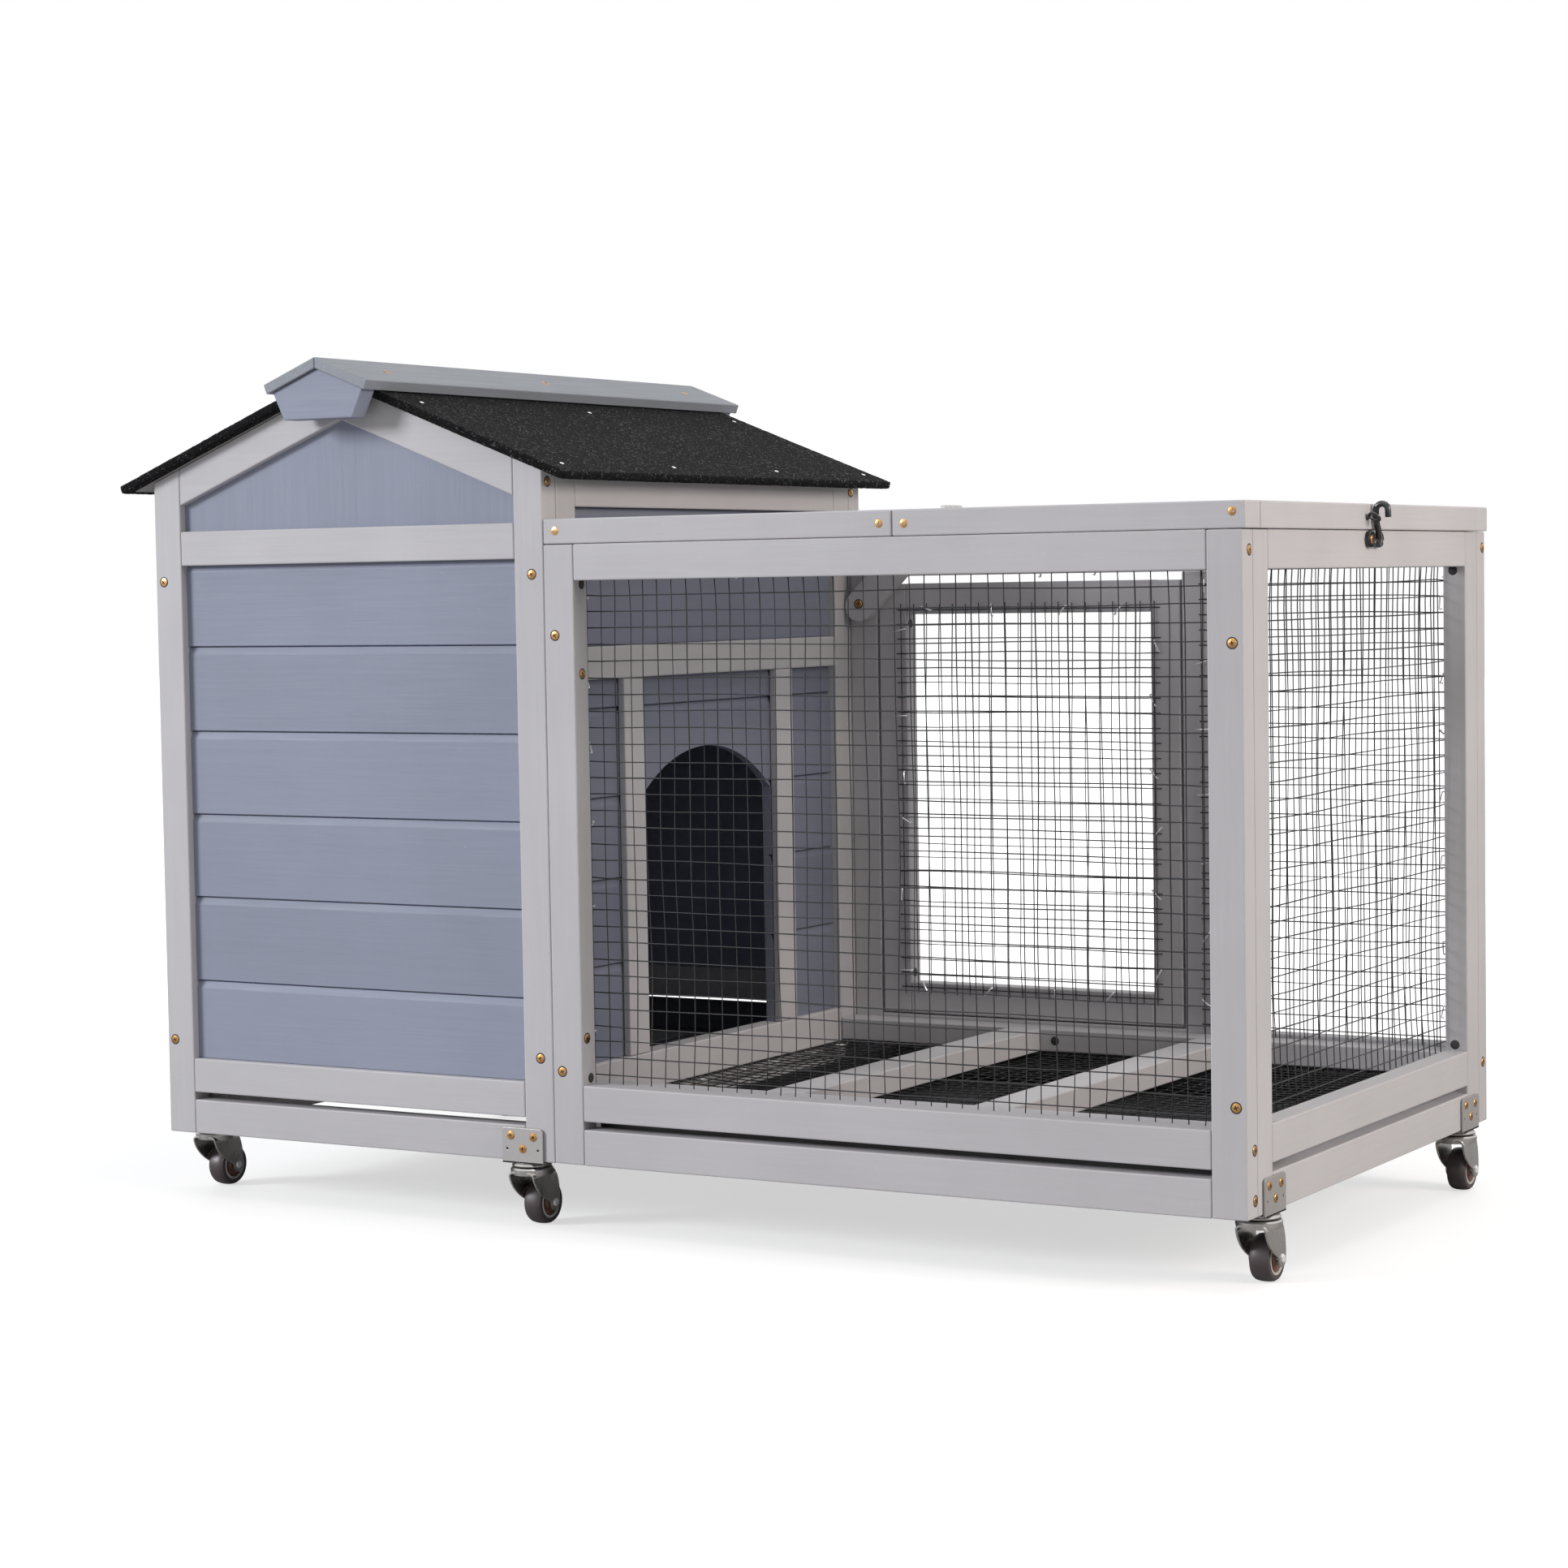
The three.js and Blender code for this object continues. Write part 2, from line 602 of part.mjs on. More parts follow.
function addRearDoor() {
  const doorX = [runStart + stile + rearDoorGap, midPostStart - rearDoorGap];
  const doorZ = [upperRailTop + rearDoorFoot, topRailBottom - rearDoorHead];
  const innerX = [doorX[0] + doorTimber, doorX[1] - doorTimber];
  const innerZ = [doorZ[0] + doorTimber, doorZ[1] - doorTimber];
  const frame = panel(rectangle(doorX, doorZ), [rectangle(innerX, innerZ)], 'y', [rearInner, depth]);
  addPiece('door_frame', frame, finishes.frame);
  const meshY = [rearInner - fit - meshThickness, rearInner - fit];
  const meshX = [innerX[0] - meshLap, innerX[1] + meshLap];
  addPiece('door_mesh', block(meshX, meshY, [innerZ[0] - meshLap, innerZ[1] + meshLap]), finishes.wire);
  const pinX = midPostStart - rearDoorGap / 2;
  const pinY = depth + hingeAxisHeight;
  const heights = { lower: doorZ[0] + doorHingeInset, upper: doorZ[1] - doorHingeInset };
  for (const [level, z] of Object.entries(heights)) {
    addHinge(`door_${level}_hinge`, new THREE.Vector3(pinX, pinY, z), alongX, alongY, alongZ);
  }
  const buttonX = runStart + stile / 2;
  const middle = (doorZ[0] + doorZ[1]) / 2;
  const halfSpan = (buttonLength - buttonWidth) / 2;
  const buttonEnds = [[buttonX, middle - halfSpan], [buttonX, middle + halfSpan]];
  const button = roundEndedShape(...buttonEnds, buttonWidth / 2);
  const buttonY = [depth + fit, depth + fit + buttonThickness];
  addPiece('door_button', slab(button, 'y', buttonY, cornerSegments), finishes.frame);
}

function addCornerBrace() {
  const footX = runStart + braceWidth / 2 + workingGap;
  const foot = [footX, topRailBottom - stile + workingGap];
  const head = [foot[0] + braceReach, foot[1] + braceReach];
  const shape = roundEndedShape(foot, head, braceWidth / 2);
  const braceY = [rearInner - fit - braceThickness, rearInner - fit];
  addPiece('corner_brace', slab(shape, 'y', braceY, cornerSegments), finishes.frame);
}

// ---------------------------------------------------------------- top panel and lid

/** A top frame and the mesh under it, between two X positions. */
function addTopPanel(name, [x0, x1], [meshX0, meshX1]) {
  const opening = rectangle([x0 + lidRail, x1 - lidRail], [lidRail, depth - lidRail]);
  const frame = panel(rectangle([x0, x1], [0, depth]), [opening], 'z', [lidBottom, lidTop]);
  addPiece(`${name}_frame`, frame, finishes.frame);
  const meshY = [sideStart + topMeshGap, sideEnd - topMeshGap];
  const meshZ = [lidBottom - fit - meshThickness, lidBottom - fit];
  addPiece(`${name}_mesh`, block([meshX0, meshX1], meshY, meshZ), finishes.wire);
}

function addTop() {
  const split = [lidSplit - fit / 2, lidSplit + fit / 2];
  const topX = [runStart, split[0]];
  const lidX = [split[1], lidEnd];
  addTopPanel('top_panel', topX, [topX[0] + lidRail - lidMeshLap, topX[1] - lidRail + lidMeshLap]);
  addTopPanel('lid', lidX, [lidX[0] + lidRail - lidMeshLap, endInner - fit]);
  const pinZ = lidTop + hingeAxisHeight;
  const places = { front: lidHingeInset, rear: depth - lidHingeInset };
  const towardsHouse = alongX.clone().negate();
  for (const [end, y] of Object.entries(places)) {
    addHinge(`lid_${end}_hinge`, new THREE.Vector3(lidSplit, y, pinZ), towardsHouse, alongZ, alongY);
  }
}

// ---------------------------------------------------------------- latch

const latchPinX = lidEnd + hookClearance;
const latchPinZ = runTop - latchPinDrop;

function addLatch() {
  const plateX = [runEnd + fit, runEnd + fit + saddlePlate];
  const saddleY = [latchMiddle - saddleLength / 2, latchMiddle + saddleLength / 2];
  const saddleZ = [latchPinZ - saddleHeight / 2, latchPinZ + saddleHeight / 2];
  const earGap = hookWidth / 2 + fit;
  const earX = [plateX[0], latchPinX + saddleEarReach];
  const earZ = [latchPinZ - hookEyeRadius, latchPinZ + hookEyeRadius];
  const ears = [-1, 1].map((side) => {
    const inner = latchMiddle + side * earGap;
    return block(earX, rising(inner, inner + side * saddleEar), earZ);
  });
  const pinY = [latchMiddle - earGap - saddleEar / 2, latchMiddle + earGap + saddleEar / 2];
  const pin = rod('y', saddlePinRadius, pinY, [latchPinX, latchPinZ], pinSides);
  addPiece('latch_saddle', join(block(plateX, saddleY, saddleZ), ...ears, pin), finishes.blackSteel);

  const eyeY = [latchMiddle - hookWidth / 2, latchMiddle + hookWidth / 2];
  const eye = rod('y', hookEyeRing, eyeY, [latchPinX, latchPinZ], roundSides);
  const boreY = [eyeY[0] - past, eyeY[1] + past];
  const bore = rod('y', hookBoreRadius, boreY, [latchPinX, latchPinZ], pinSides);
  const bendZ = latchPinZ + hookRise;
  const bendX = latchPinX + hookBendRadius;
  const shankY = latchMiddle - hookLean;
  const points = [
    new THREE.Vector3(latchPinX, latchMiddle, latchPinZ),
    new THREE.Vector3(latchPinX, latchMiddle, latchPinZ + hookStraight),
    new THREE.Vector3(latchPinX, (latchMiddle + shankY) / 2, latchPinZ + (hookRise + hookEyeRadius) / 2),
  ];
  for (let step = 0; step <= hookBendSteps; step += 1) {
    const angle = Math.PI - (step * Math.PI) / hookBendSteps;
    const x = bendX + hookBendRadius * Math.cos(angle);
    points.push(new THREE.Vector3(x, shankY, bendZ + hookBendRadius * Math.sin(angle)));
  }
  points.push(new THREE.Vector3(bendX + hookBendRadius, shankY, bendZ - hookTip));
  const extrudePath = new THREE.CatmullRomCurve3(points);
  const halfThickness = hookThickness / 2;
  const halfWidth = hookWidth / 2;
  const section = outlineShape(rectangle([-halfThickness, halfThickness], [-halfWidth, halfWidth]));
  const strap = new THREE.ExtrudeGeometry(section, { steps: hookSteps, bevelEnabled: false, extrudePath });
  addPiece('latch_hook', cut(join(eye, solid(strap)), bore), finishes.blackSteel);
}

// ---------------------------------------------------------------- run floor

function addFloor() {
  const floorX = [runStart, endInner - fit];
  const floorY = [sideStart, sideEnd];
  const floorZ = [floorBarTop - floorTimber, floorBarTop];
  const barY = [floorY[0] + floorEdge - past, floorY[1] - floorEdge + past];
  const bars = [0, 1].map((index) => {
    const centre = houseWidth + firstBar + index * barSpacing;
    return block([centre - floorBar / 2, centre + floorBar / 2], barY, floorZ);
  });
  const front = block(floorX, [floorY[0], floorY[0] + floorEdge], floorZ);
  const rear = block(floorX, [floorY[1] - floorEdge, floorY[1]], floorZ);
  addPiece('floor_frame', join(front, rear, ...bars), finishes.frame);
  const meshZ = [floorMeshTop - meshThickness, floorMeshTop];
  const meshX = [floorX[0] + meshThickness, floorX[1] - meshThickness];
  const meshY = [floorY[0] + meshThickness, floorY[1] - meshThickness];
  addPiece('floor_mesh', block(meshX, meshY, meshZ), finishes.wire);
}

// ---------------------------------------------------------------- casters

const axleHeight = wheelRadius * Math.cos(Math.PI / wheelFacets);
const bracketUnder = base - fit - bracketThickness;
const raceUnder = bracketUnder - upperRaceHeight;
const forkTop = raceUnder - fit;
const forkRaceUnder = forkTop - forkRaceHeight;

/** Angle plate with the upper race and king pin, about a swivel axis at the origin. */
function casterBracket() {
  const half = bracketWidth / 2;
  const faceY = -swivelInset - fit;
  const plateZ = [bracketUnder, base + bracketHeight];
  const plate = block([-half, half], [faceY - bracketThickness, faceY], plateZ);
  const footZ = [bracketUnder, bracketUnder + bracketThickness];
  const foot = block([-half, half], [faceY - bracketThickness, upperRaceRadius], footZ);
  const race = rod('z', upperRaceRadius, [raceUnder, bracketUnder + past], [0, 0]);
  const headTop = forkRaceUnder - fit;
  const headUnder = headTop - kingPinHeadHeight;
  const pin = rod('z', kingPinRadius, [headUnder, bracketUnder], [0, 0], roundSides);
  const head = rod('z', kingPinHeadRadius, [headUnder, headTop], [0, 0], roundSides);
  return join(plate, foot, race, pin, head);
}

/** Swivelling fork: race, two legs and the axle, trailing towards the rear. */
function casterFork() {
  const legInner = wheelWidth / 2 + forkGap;
  const shape = new THREE.Shape();
  shape.moveTo(-upperRaceRadius, forkTop - past);
  shape.lineTo(-upperRaceRadius, forkRaceUnder);
  shape.lineTo(trail - axleBoss, axleHeight);
  shape.absarc(trail, axleHeight, axleBoss, Math.PI, 2 * Math.PI, false);
  shape.lineTo(upperRaceRadius, forkRaceUnder);
  shape.lineTo(upperRaceRadius, forkTop - past);
  shape.closePath();
  const legs = [[-legInner - forkLeg, -legInner], [legInner, legInner + forkLeg]];
  const race = rod('z', forkRaceRadius, [forkRaceUnder, forkTop], [0, 0], raceSides);
  const axleReach = legInner + forkLeg + axleHead;
  const axle = rod('x', axleRadius, [-axleReach, axleReach], [trail, axleHeight], pinSides);
  const bore = rod('z', kingBoreRadius, [forkRaceUnder - past, forkTop + past], [0, 0], roundSides);
  const legBodies = legs.map((range) => slab(shape, 'x', range, bossSegments));
  return cut(join(race, ...legBodies, axle), bore);
}

/** Wheel about the X axis at the origin, with one flat of its tread facing down. */
function casterWheel() {
  const half = wheelWidth / 2;
  const rim = wheelRadius - tyreDepth;
  const hubFace = half - hubInset;
  const dishFace = hubFace - wheelDish;
  const side = [
    [wheelBoreRadius, hubFace], [hubRadius, hubFace], [hubRadius + dishEdge, dishFace],
    [rim - dishEdge, dishFace], [rim, half], [wheelRadius - tyreShoulder, half],
    [wheelRadius, half - tyreShoulder],
  ];
  const lower = side.map(([radius, along]) => [radius, -along]);
  const loop = [...lower, ...side.reverse(), lower[0]];
  const profile = loop.map(([radius, along]) => new THREE.Vector2(radius, along));
  const lathe = new THREE.LatheGeometry(profile, wheelFacets, Math.PI / wheelFacets, 2 * Math.PI);
  return solid(lathe.rotateZ(Math.PI / 2));
}

function addCasters() {
  const bracket = casterBracket();
  const fork = casterFork();
  const wheel = casterWheel();
  const cornerX = houseWidth - bracketWidth / 2 - casterCornerGap;
  const places = {
    front_left: [swivelInset, casterSetback, -Math.PI / 2],
    front_middle: [cornerX, swivelInset, 0],
    front_right: [runEnd - swivelInset, casterSetback, Math.PI / 2],
    rear_left: [swivelInset, depth - casterSetback, -Math.PI / 2],
    rear_middle: [cornerX, depth - swivelInset, Math.PI],
    rear_right: [runEnd - swivelInset, depth - casterSetback, Math.PI / 2],
  };
  for (const [name, [x, y, facing]] of Object.entries(places)) {
    const caster = new THREE.Group();
    caster.position.set(x, y, 0);
    hutch.add(caster);
    addPiece(`caster_${name}_bracket`, bracket, finishes.zinc, caster).rotation.z = facing;
    addPiece(`caster_${name}_fork`, fork, finishes.zinc, caster);
    addPiece(`caster_${name}_wheel`, wheel, finishes.tread, caster).position.set(0, trail, axleHeight);
  }
}

// ---------------------------------------------------------------- assembly

addHouseEnds();
addHouseLeftWall();
addHouseRightWall();
addTrays();
addRoof();
addRunFront();
addRunEnd();
addRunRear();
addRearDoor();
addCornerBrace();
addTop();
addLatch();
addFloor();
addCasters();

const group = new THREE.Group();
group.add(hutch);
group.updateMatrixWorld(true);
const bounds = new THREE.Box3().setFromObject(group, true);
const middle = bounds.getCenter(new THREE.Vector3());
hutch.position.set(-middle.x, -middle.y, -bounds.min.z);
group.updateMatrixWorld(true);

export default group;
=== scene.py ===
# %% [markdown]
# # A rabbit hutch on casters
# A gabled timber house with a felted roof stands beside a long run of wire mesh. The CAD model holds
# every size, joint and moving part. This script keeps that frame and gives each part its real
# surface: bevelled timbers, shiplap boards, mineral felt, welded wire and pressed steel.

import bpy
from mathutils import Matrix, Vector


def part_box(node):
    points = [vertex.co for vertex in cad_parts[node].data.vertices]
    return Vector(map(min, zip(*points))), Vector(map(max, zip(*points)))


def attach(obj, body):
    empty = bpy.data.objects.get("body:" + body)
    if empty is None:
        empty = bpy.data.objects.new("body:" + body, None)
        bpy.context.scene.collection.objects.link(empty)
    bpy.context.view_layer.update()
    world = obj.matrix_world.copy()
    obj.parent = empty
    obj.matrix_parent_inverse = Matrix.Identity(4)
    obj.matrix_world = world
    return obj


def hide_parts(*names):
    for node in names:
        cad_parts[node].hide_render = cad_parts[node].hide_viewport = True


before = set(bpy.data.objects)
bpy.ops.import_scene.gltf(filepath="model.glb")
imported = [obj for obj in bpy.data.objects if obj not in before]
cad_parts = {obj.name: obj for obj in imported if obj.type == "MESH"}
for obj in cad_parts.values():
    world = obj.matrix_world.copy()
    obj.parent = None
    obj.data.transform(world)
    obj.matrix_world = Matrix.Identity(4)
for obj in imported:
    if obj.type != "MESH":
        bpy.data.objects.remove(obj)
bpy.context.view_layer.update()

# %% Modules and units
import math
import random

import bmesh
import bpy
from mathutils import Matrix, Vector, noise

mm = 0.001
chance = random.Random(7)

# %% [markdown]
# ## Camera, floor and light
# A long lens stands in front of the run's free corner, a little above the lid. Stepping back with a
# long lens keeps the uprights almost parallel, which a short lens close by would not. The floor is
# plain and pale, and the light is soft from all sides with a broad lamp on the left and a warmer
# one on the right, so that the two visible faces differ a little in colour.

# %% Camera
def look(turn, tilt, roll):
    """A camera's rotation from its turn to the left, its tilt downwards and its roll, in degrees."""
    turn, tilt, roll = math.radians(turn), math.radians(tilt), math.radians(roll)
    level = Matrix.Rotation(math.pi / 2 - tilt, 4, "X") @ Matrix.Rotation(roll, 4, "Z")
    return Matrix.Rotation(turn, 4, "Z") @ level


camera = bpy.data.objects.new("camera", bpy.data.cameras.new("camera"))
camera.data.sensor_width = 36
camera.data.lens = 79.87
camera.matrix_world = Matrix.Translation((1.4754, -2.564, 0.5193)) @ look(30.36, 3.315, -0.92)
bpy.context.scene.collection.objects.link(camera)
bpy.context.scene.camera = camera
bpy.context.scene.view_settings.view_transform = "Standard"
print("camera stands", round(camera.location.length, 2), "m from the hutch's foot")

# %% Light
SKY = 0.42
world = bpy.data.worlds.new("studio")
world.use_nodes = True
sky = world.node_tree
behind = sky.nodes.new("ShaderNodeBackground")
behind.inputs["Color"].default_value = (1.0, 1.0, 1.0, 1)
seen = sky.nodes.new("ShaderNodeLightPath")
choice = sky.nodes.new("ShaderNodeMixShader")
fill = sky.nodes["Background"]
fill.inputs["Color"].default_value = (0.97, 0.98, 1.0, 1)
fill.inputs["Strength"].default_value = SKY
direct = sky.nodes.new("ShaderNodeMath")
direct.operation = "MAXIMUM"
sky.links.new(seen.outputs["Is Camera Ray"], direct.inputs[0])
sky.links.new(seen.outputs["Is Glossy Ray"], direct.inputs[1])
sky.links.new(direct.outputs[0], choice.inputs[0])
sky.links.new(fill.outputs[0], choice.inputs[1])
sky.links.new(behind.outputs[0], choice.inputs[2])
sky.links.new(choice.outputs[0], sky.nodes["World Output"].inputs["Surface"])
bpy.context.scene.world = world


def lamp(name, place, aim, size, power, colour):
    """A square area lamp that faces a point."""
    light = bpy.data.lights.new(name, "AREA")
    light.size = size
    light.energy = power
    light.color = colour
    holder = bpy.data.objects.new(name, light)
    holder.location = place
    holder.rotation_euler = (Vector(aim) - Vector(place)).to_track_quat("-Z", "Y").to_euler()
    bpy.context.scene.collection.objects.link(holder)


lamp("left_lamp", (-3.9, -4.0, 2.3), (0, 0, 0.3), 1.6, 235, (0.95, 0.965, 1.0))
lamp("right_lamp", (3.3, -0.1, 1.45), (0.4, 0, 0.35), 1.2, 58, (1.0, 0.91, 0.82))
lamp("top_lamp", (0.6, 0.2, 3.0), (0, 0, 0.4), 1.6, 18, (1.0, 1.0, 1.0))

# %% [markdown]
# ## How the finishes are made
# Every finish is procedural and reads Object coordinates in metres, so its pattern has a real size
# and stays on the piece when it moves. Effects that several finishes share are node groups. They
# put out colours, roughness and height only, and the Principled shader stays in each material.

# %% Node helpers
def put(tree, kind, inputs=None, **settings):
    """Adds a shader node. An input may be a value or another node's output."""
    made = tree.nodes.new("ShaderNode" + kind)
    for key, value in settings.items():
        setattr(made, key, value)
    for key, value in (inputs or {}).items():
        if isinstance(value, bpy.types.NodeSocket):
            tree.links.new(value, made.inputs[key])
        else:
            made.inputs[key].default_value = value
    return made


def maths(tree, operation, first, second, clamp=False):
    return put(tree, "Math", {0: first, 1: second}, operation=operation, use_clamp=clamp).outputs[0]


def mixed(tree, share, first, second):
    """A colour between two colours."""
    return put(tree, "Mix", {0: share, 6: first, 7: second}, data_type="RGBA").outputs[2]


def ramp(tree, value, start, end, low=0.0, high=1.0):
    """A value spread between two ends and kept within them."""
    inputs = {"Value": value, "From Min": start, "From Max": end, "To Min": low, "To Max": high}
    return put(tree, "MapRange", inputs).outputs["Result"]


def speckle(tree, vector, scale, detail=3.0):
    """A noise pattern's value."""
    inputs = {"Vector": vector, "Scale": scale, "Detail": detail, "Roughness": 0.6}
    return put(tree, "TexNoise", inputs).outputs["Fac"]


def new_group(name, inputs, outputs):
    """An empty node group with named inputs (kind, starting value) and outputs (kind)."""
    tree = bpy.data.node_groups.new(name, "ShaderNodeTree")
    for label, (kind, value) in inputs.items():
        tree.interface.new_socket(label, in_out="INPUT", socket_type=kind).default_value = value
    for label, kind in outputs.items():
        tree.interface.new_socket(label, in_out="OUTPUT", socket_type=kind)
    entry = tree.nodes.new("NodeGroupInput").outputs
    leave = tree.nodes.new("NodeGroupOutput").inputs
    return tree, entry, leave


COLOUR = "NodeSocketColor"
VALUE = "NodeSocketFloat"
VECTOR = "NodeSocketVector"
print("node helpers ready")

# %% [markdown]
# ### Paint over softwood
# The paint is thin and satin. Softwood grain shows through it as fine streaks along the timber, a
# few flecks and faint cloudy patches, and it has worn a little on the arrises. The streaks are a
# noise that is squeezed across the grain. The stretch is an input, so one group serves timbers that
# run along X, Y or Z. Two attributes of a piece help: "edge" marks its bevels, and a tone attribute
# makes one timber a shade lighter or darker than the next, as boards from one pot always are. The
# same attribute also darkens the boards of the house's side inside the run as painted shade.

# %% Painted grain group
def build_painted_grain():
    inputs = {
        "Paint": (COLOUR, (0.5, 0.5, 0.5, 1)),
        "Grain": (COLOUR, (0.4, 0.4, 0.4, 1)),
        "Worn": (COLOUR, (0.6, 0.6, 0.6, 1)),
        "Stretch": (VECTOR, (1, 1, 1)),
        "Streaks": (VALUE, 0.3),
    }
    outputs = {"Colour": COLOUR, "Roughness": VALUE, "Height": VALUE}
    tree, entry, leave = new_group("painted_grain", inputs, outputs)
    place = put(tree, "TexCoord").outputs["Object"]
    along = put(tree, "VectorMath", {0: place, 1: entry["Stretch"]}, operation="MULTIPLY").outputs[0]
    fibres = speckle(tree, along, 2.6, 6.0)
    figure = speckle(tree, along, 0.42, 3.0)
    clouds = speckle(tree, place, 5.5, 3.0)
    flecks = ramp(tree, speckle(tree, place, 170.0, 2.0), 0.69, 0.76)
    streaks = maths(tree, "MULTIPLY", ramp(tree, fibres, 0.42, 0.78), entry["Streaks"])
    bands = maths(tree, "MULTIPLY", ramp(tree, figure, 0.5, 0.62), entry["Streaks"])
    grained = mixed(tree, streaks, entry["Paint"], entry["Grain"])
    grained = mixed(tree, maths(tree, "MULTIPLY", bands, 0.6), grained, entry["Grain"])
    grained = mixed(tree, maths(tree, "MULTIPLY", flecks, 0.3), grained, entry["Worn"])
    edge = put(tree, "Attribute", attribute_name="edge").outputs["Fac"]
    rubbed = maths(tree, "MULTIPLY", edge, ramp(tree, speckle(tree, place, 60.0), 0.45, 0.7, 0.0, 0.3))
    grained = mixed(tree, rubbed, grained, entry["Worn"])
    # The tone attribute is each timber's own tone, plus painted shade on the house's side inside the
    # run.
    tone_and_painted_shade = put(tree, "Attribute", attribute_name="tone_and_painted_shade").outputs["Fac"]
    shade = maths(tree, "ADD", tone_and_painted_shade, ramp(tree, clouds, 0.35, 0.65, 0.955, 1.03))
    toned = put(tree, "VectorMath", {0: grained, "Scale": shade}, operation="SCALE").outputs[0]
    tree.links.new(toned, leave["Colour"])
    tree.links.new(ramp(tree, fibres, 0.3, 0.7, 0.5, 0.64), leave["Roughness"])
    tree.links.new(maths(tree, "ADD", fibres, maths(tree, "MULTIPLY", figure, 0.6)), leave["Height"])
    return tree


painted_grain = build_painted_grain()


def new_material(name):
    """A material with its shader, and its node tree."""
    material = bpy.data.materials.new(name)
    material.use_nodes = True
    return material, material.node_tree, material.node_tree.nodes["Principled BSDF"]


def feed(tree, shader, colour, roughness, height, strength, distance):
    """Leads a colour, a roughness and a height to the shader."""
    tree.links.new(colour, shader.inputs["Base Color"])
    tree.links.new(roughness, shader.inputs["Roughness"])
    bump = put(tree, "Bump", {"Height": height, "Strength": strength, "Distance": distance})
    tree.links.new(bump.outputs["Normal"], shader.inputs["Normal"])


def painted(name, along, paint, grain, worn, streaks):
    """A painted timber finish whose grain runs along X, Y or Z."""
    material, tree, shader = new_material(f"{name}_{along.lower()}")
    stretch = [150.0, 150.0, 150.0]
    stretch["XYZ".index(along)] = 5.0
    inputs = {"Paint": (*paint, 1), "Grain": (*grain, 1), "Worn": (*worn, 1), "Stretch": stretch}
    coat = put(tree, "Group", node_tree=painted_grain)
    for label, value in inputs.items():
        coat.inputs[label].default_value = value
    coat.inputs["Streaks"].default_value = streaks
    out = coat.outputs
    feed(tree, shader, out["Colour"], out["Roughness"], out["Height"], 0.2, 0.0006)
    shader.inputs["Specular IOR Level"].default_value = 0.35
    return material


frame_paint = {a: painted("frame_paint", a, (0.53, 0.515, 0.53), (0.45, 0.43, 0.44), (0.62, 0.60, 0.60),
                          0.16)
               for a in "XYZ"}
board_paint = {a: painted("board_paint", a, (0.268, 0.288, 0.372), (0.225, 0.243, 0.312),
                          (0.37, 0.385, 0.45), 0.14)
               for a in "XYZ"}
ridge_paint = {a: painted("ridge_paint", a, (0.27, 0.29, 0.325), (0.20, 0.215, 0.235),
                          (0.35, 0.365, 0.39), 0.34)
               for a in "XYZ"}
print("paints:", len(frame_paint) + len(board_paint) + len(ridge_paint))

# %% [markdown]
# ### Mottling shared by metals, plastics and felt
# Nothing on a hutch is one even colour. This group lays a second colour over the first in soft
# patches and fine specks, and puts out a matching roughness and height.

# %% Mottle group and the finishes made with it
def build_mottle():
    inputs = {
        "Base": (COLOUR, (0.5, 0.5, 0.5, 1)),
        "Second": (COLOUR, (0.3, 0.3, 0.3, 1)),
        "Patch size": (VALUE, 20.0),
        "Speck size": (VALUE, 400.0),
        "Smoothest": (VALUE, 0.3),
        "Roughest": (VALUE, 0.5),
    }
    outputs = {"Colour": COLOUR, "Roughness": VALUE, "Height": VALUE}
    tree, entry, leave = new_group("mottle", inputs, outputs)
    place = put(tree, "TexCoord").outputs["Object"]
    patches = speckle(tree, place, entry["Patch size"], 4.0)
    specks = speckle(tree, place, entry["Speck size"], 2.0)
    share = maths(tree, "ADD", ramp(tree, patches, 0.4, 0.7, 0, 0.6),
                  ramp(tree, specks, 0.5, 0.8, 0, 0.4))
    tree.links.new(mixed(tree, share, entry["Base"], entry["Second"]), leave["Colour"])
    spread = put(tree, "MapRange", {"Value": patches, "From Min": 0.3, "From Max": 0.7,
                                    "To Min": entry["Smoothest"], "To Max": entry["Roughest"]})
    tree.links.new(spread.outputs["Result"], leave["Roughness"])
    tree.links.new(specks, leave["Height"])
    return tree


mottle = build_mottle()


def mottled(name, base, second, sizes, roughness, bump=(0.15, 0.0003), metallic=0.0, coat=0.0):
    """A finish from the mottle group: two colours, (patch, speck) sizes and a roughness range."""
    material, tree, shader = new_material(name)
    layer = put(tree, "Group", node_tree=mottle)
    values = {"Base": (*base, 1), "Second": (*second, 1), "Patch size": sizes[0],
              "Speck size": sizes[1],
              "Smoothest": roughness[0], "Roughest": roughness[1]}
    for label, value in values.items():
        layer.inputs[label].default_value = value
    feed(tree, shader, layer.outputs["Colour"], layer.outputs["Roughness"], layer.outputs["Height"],
         *bump)
    shader.inputs["Metallic"].default_value = metallic
    shader.inputs["Coat Weight"].default_value = coat
    return material


black_wire = mottled("black_wire", (0.014, 0.014, 0.016), (0.03, 0.03, 0.033), (60, 900), (0.35, 0.6))
zinc = mottled("bright_zinc", (0.60, 0.58, 0.56), (0.42, 0.40, 0.385), (35, 700), (0.2, 0.36),
               metallic=1.0)
plate_zinc = mottled("plate_zinc", (0.44, 0.425, 0.415), (0.36, 0.345, 0.335), (45, 500), (0.34, 0.5),
                     metallic=0.6)
brass = mottled("yellow_zinc", (0.62, 0.36, 0.13), (0.42, 0.17, 0.08), (160, 900), (0.2, 0.36),
                metallic=1.0)
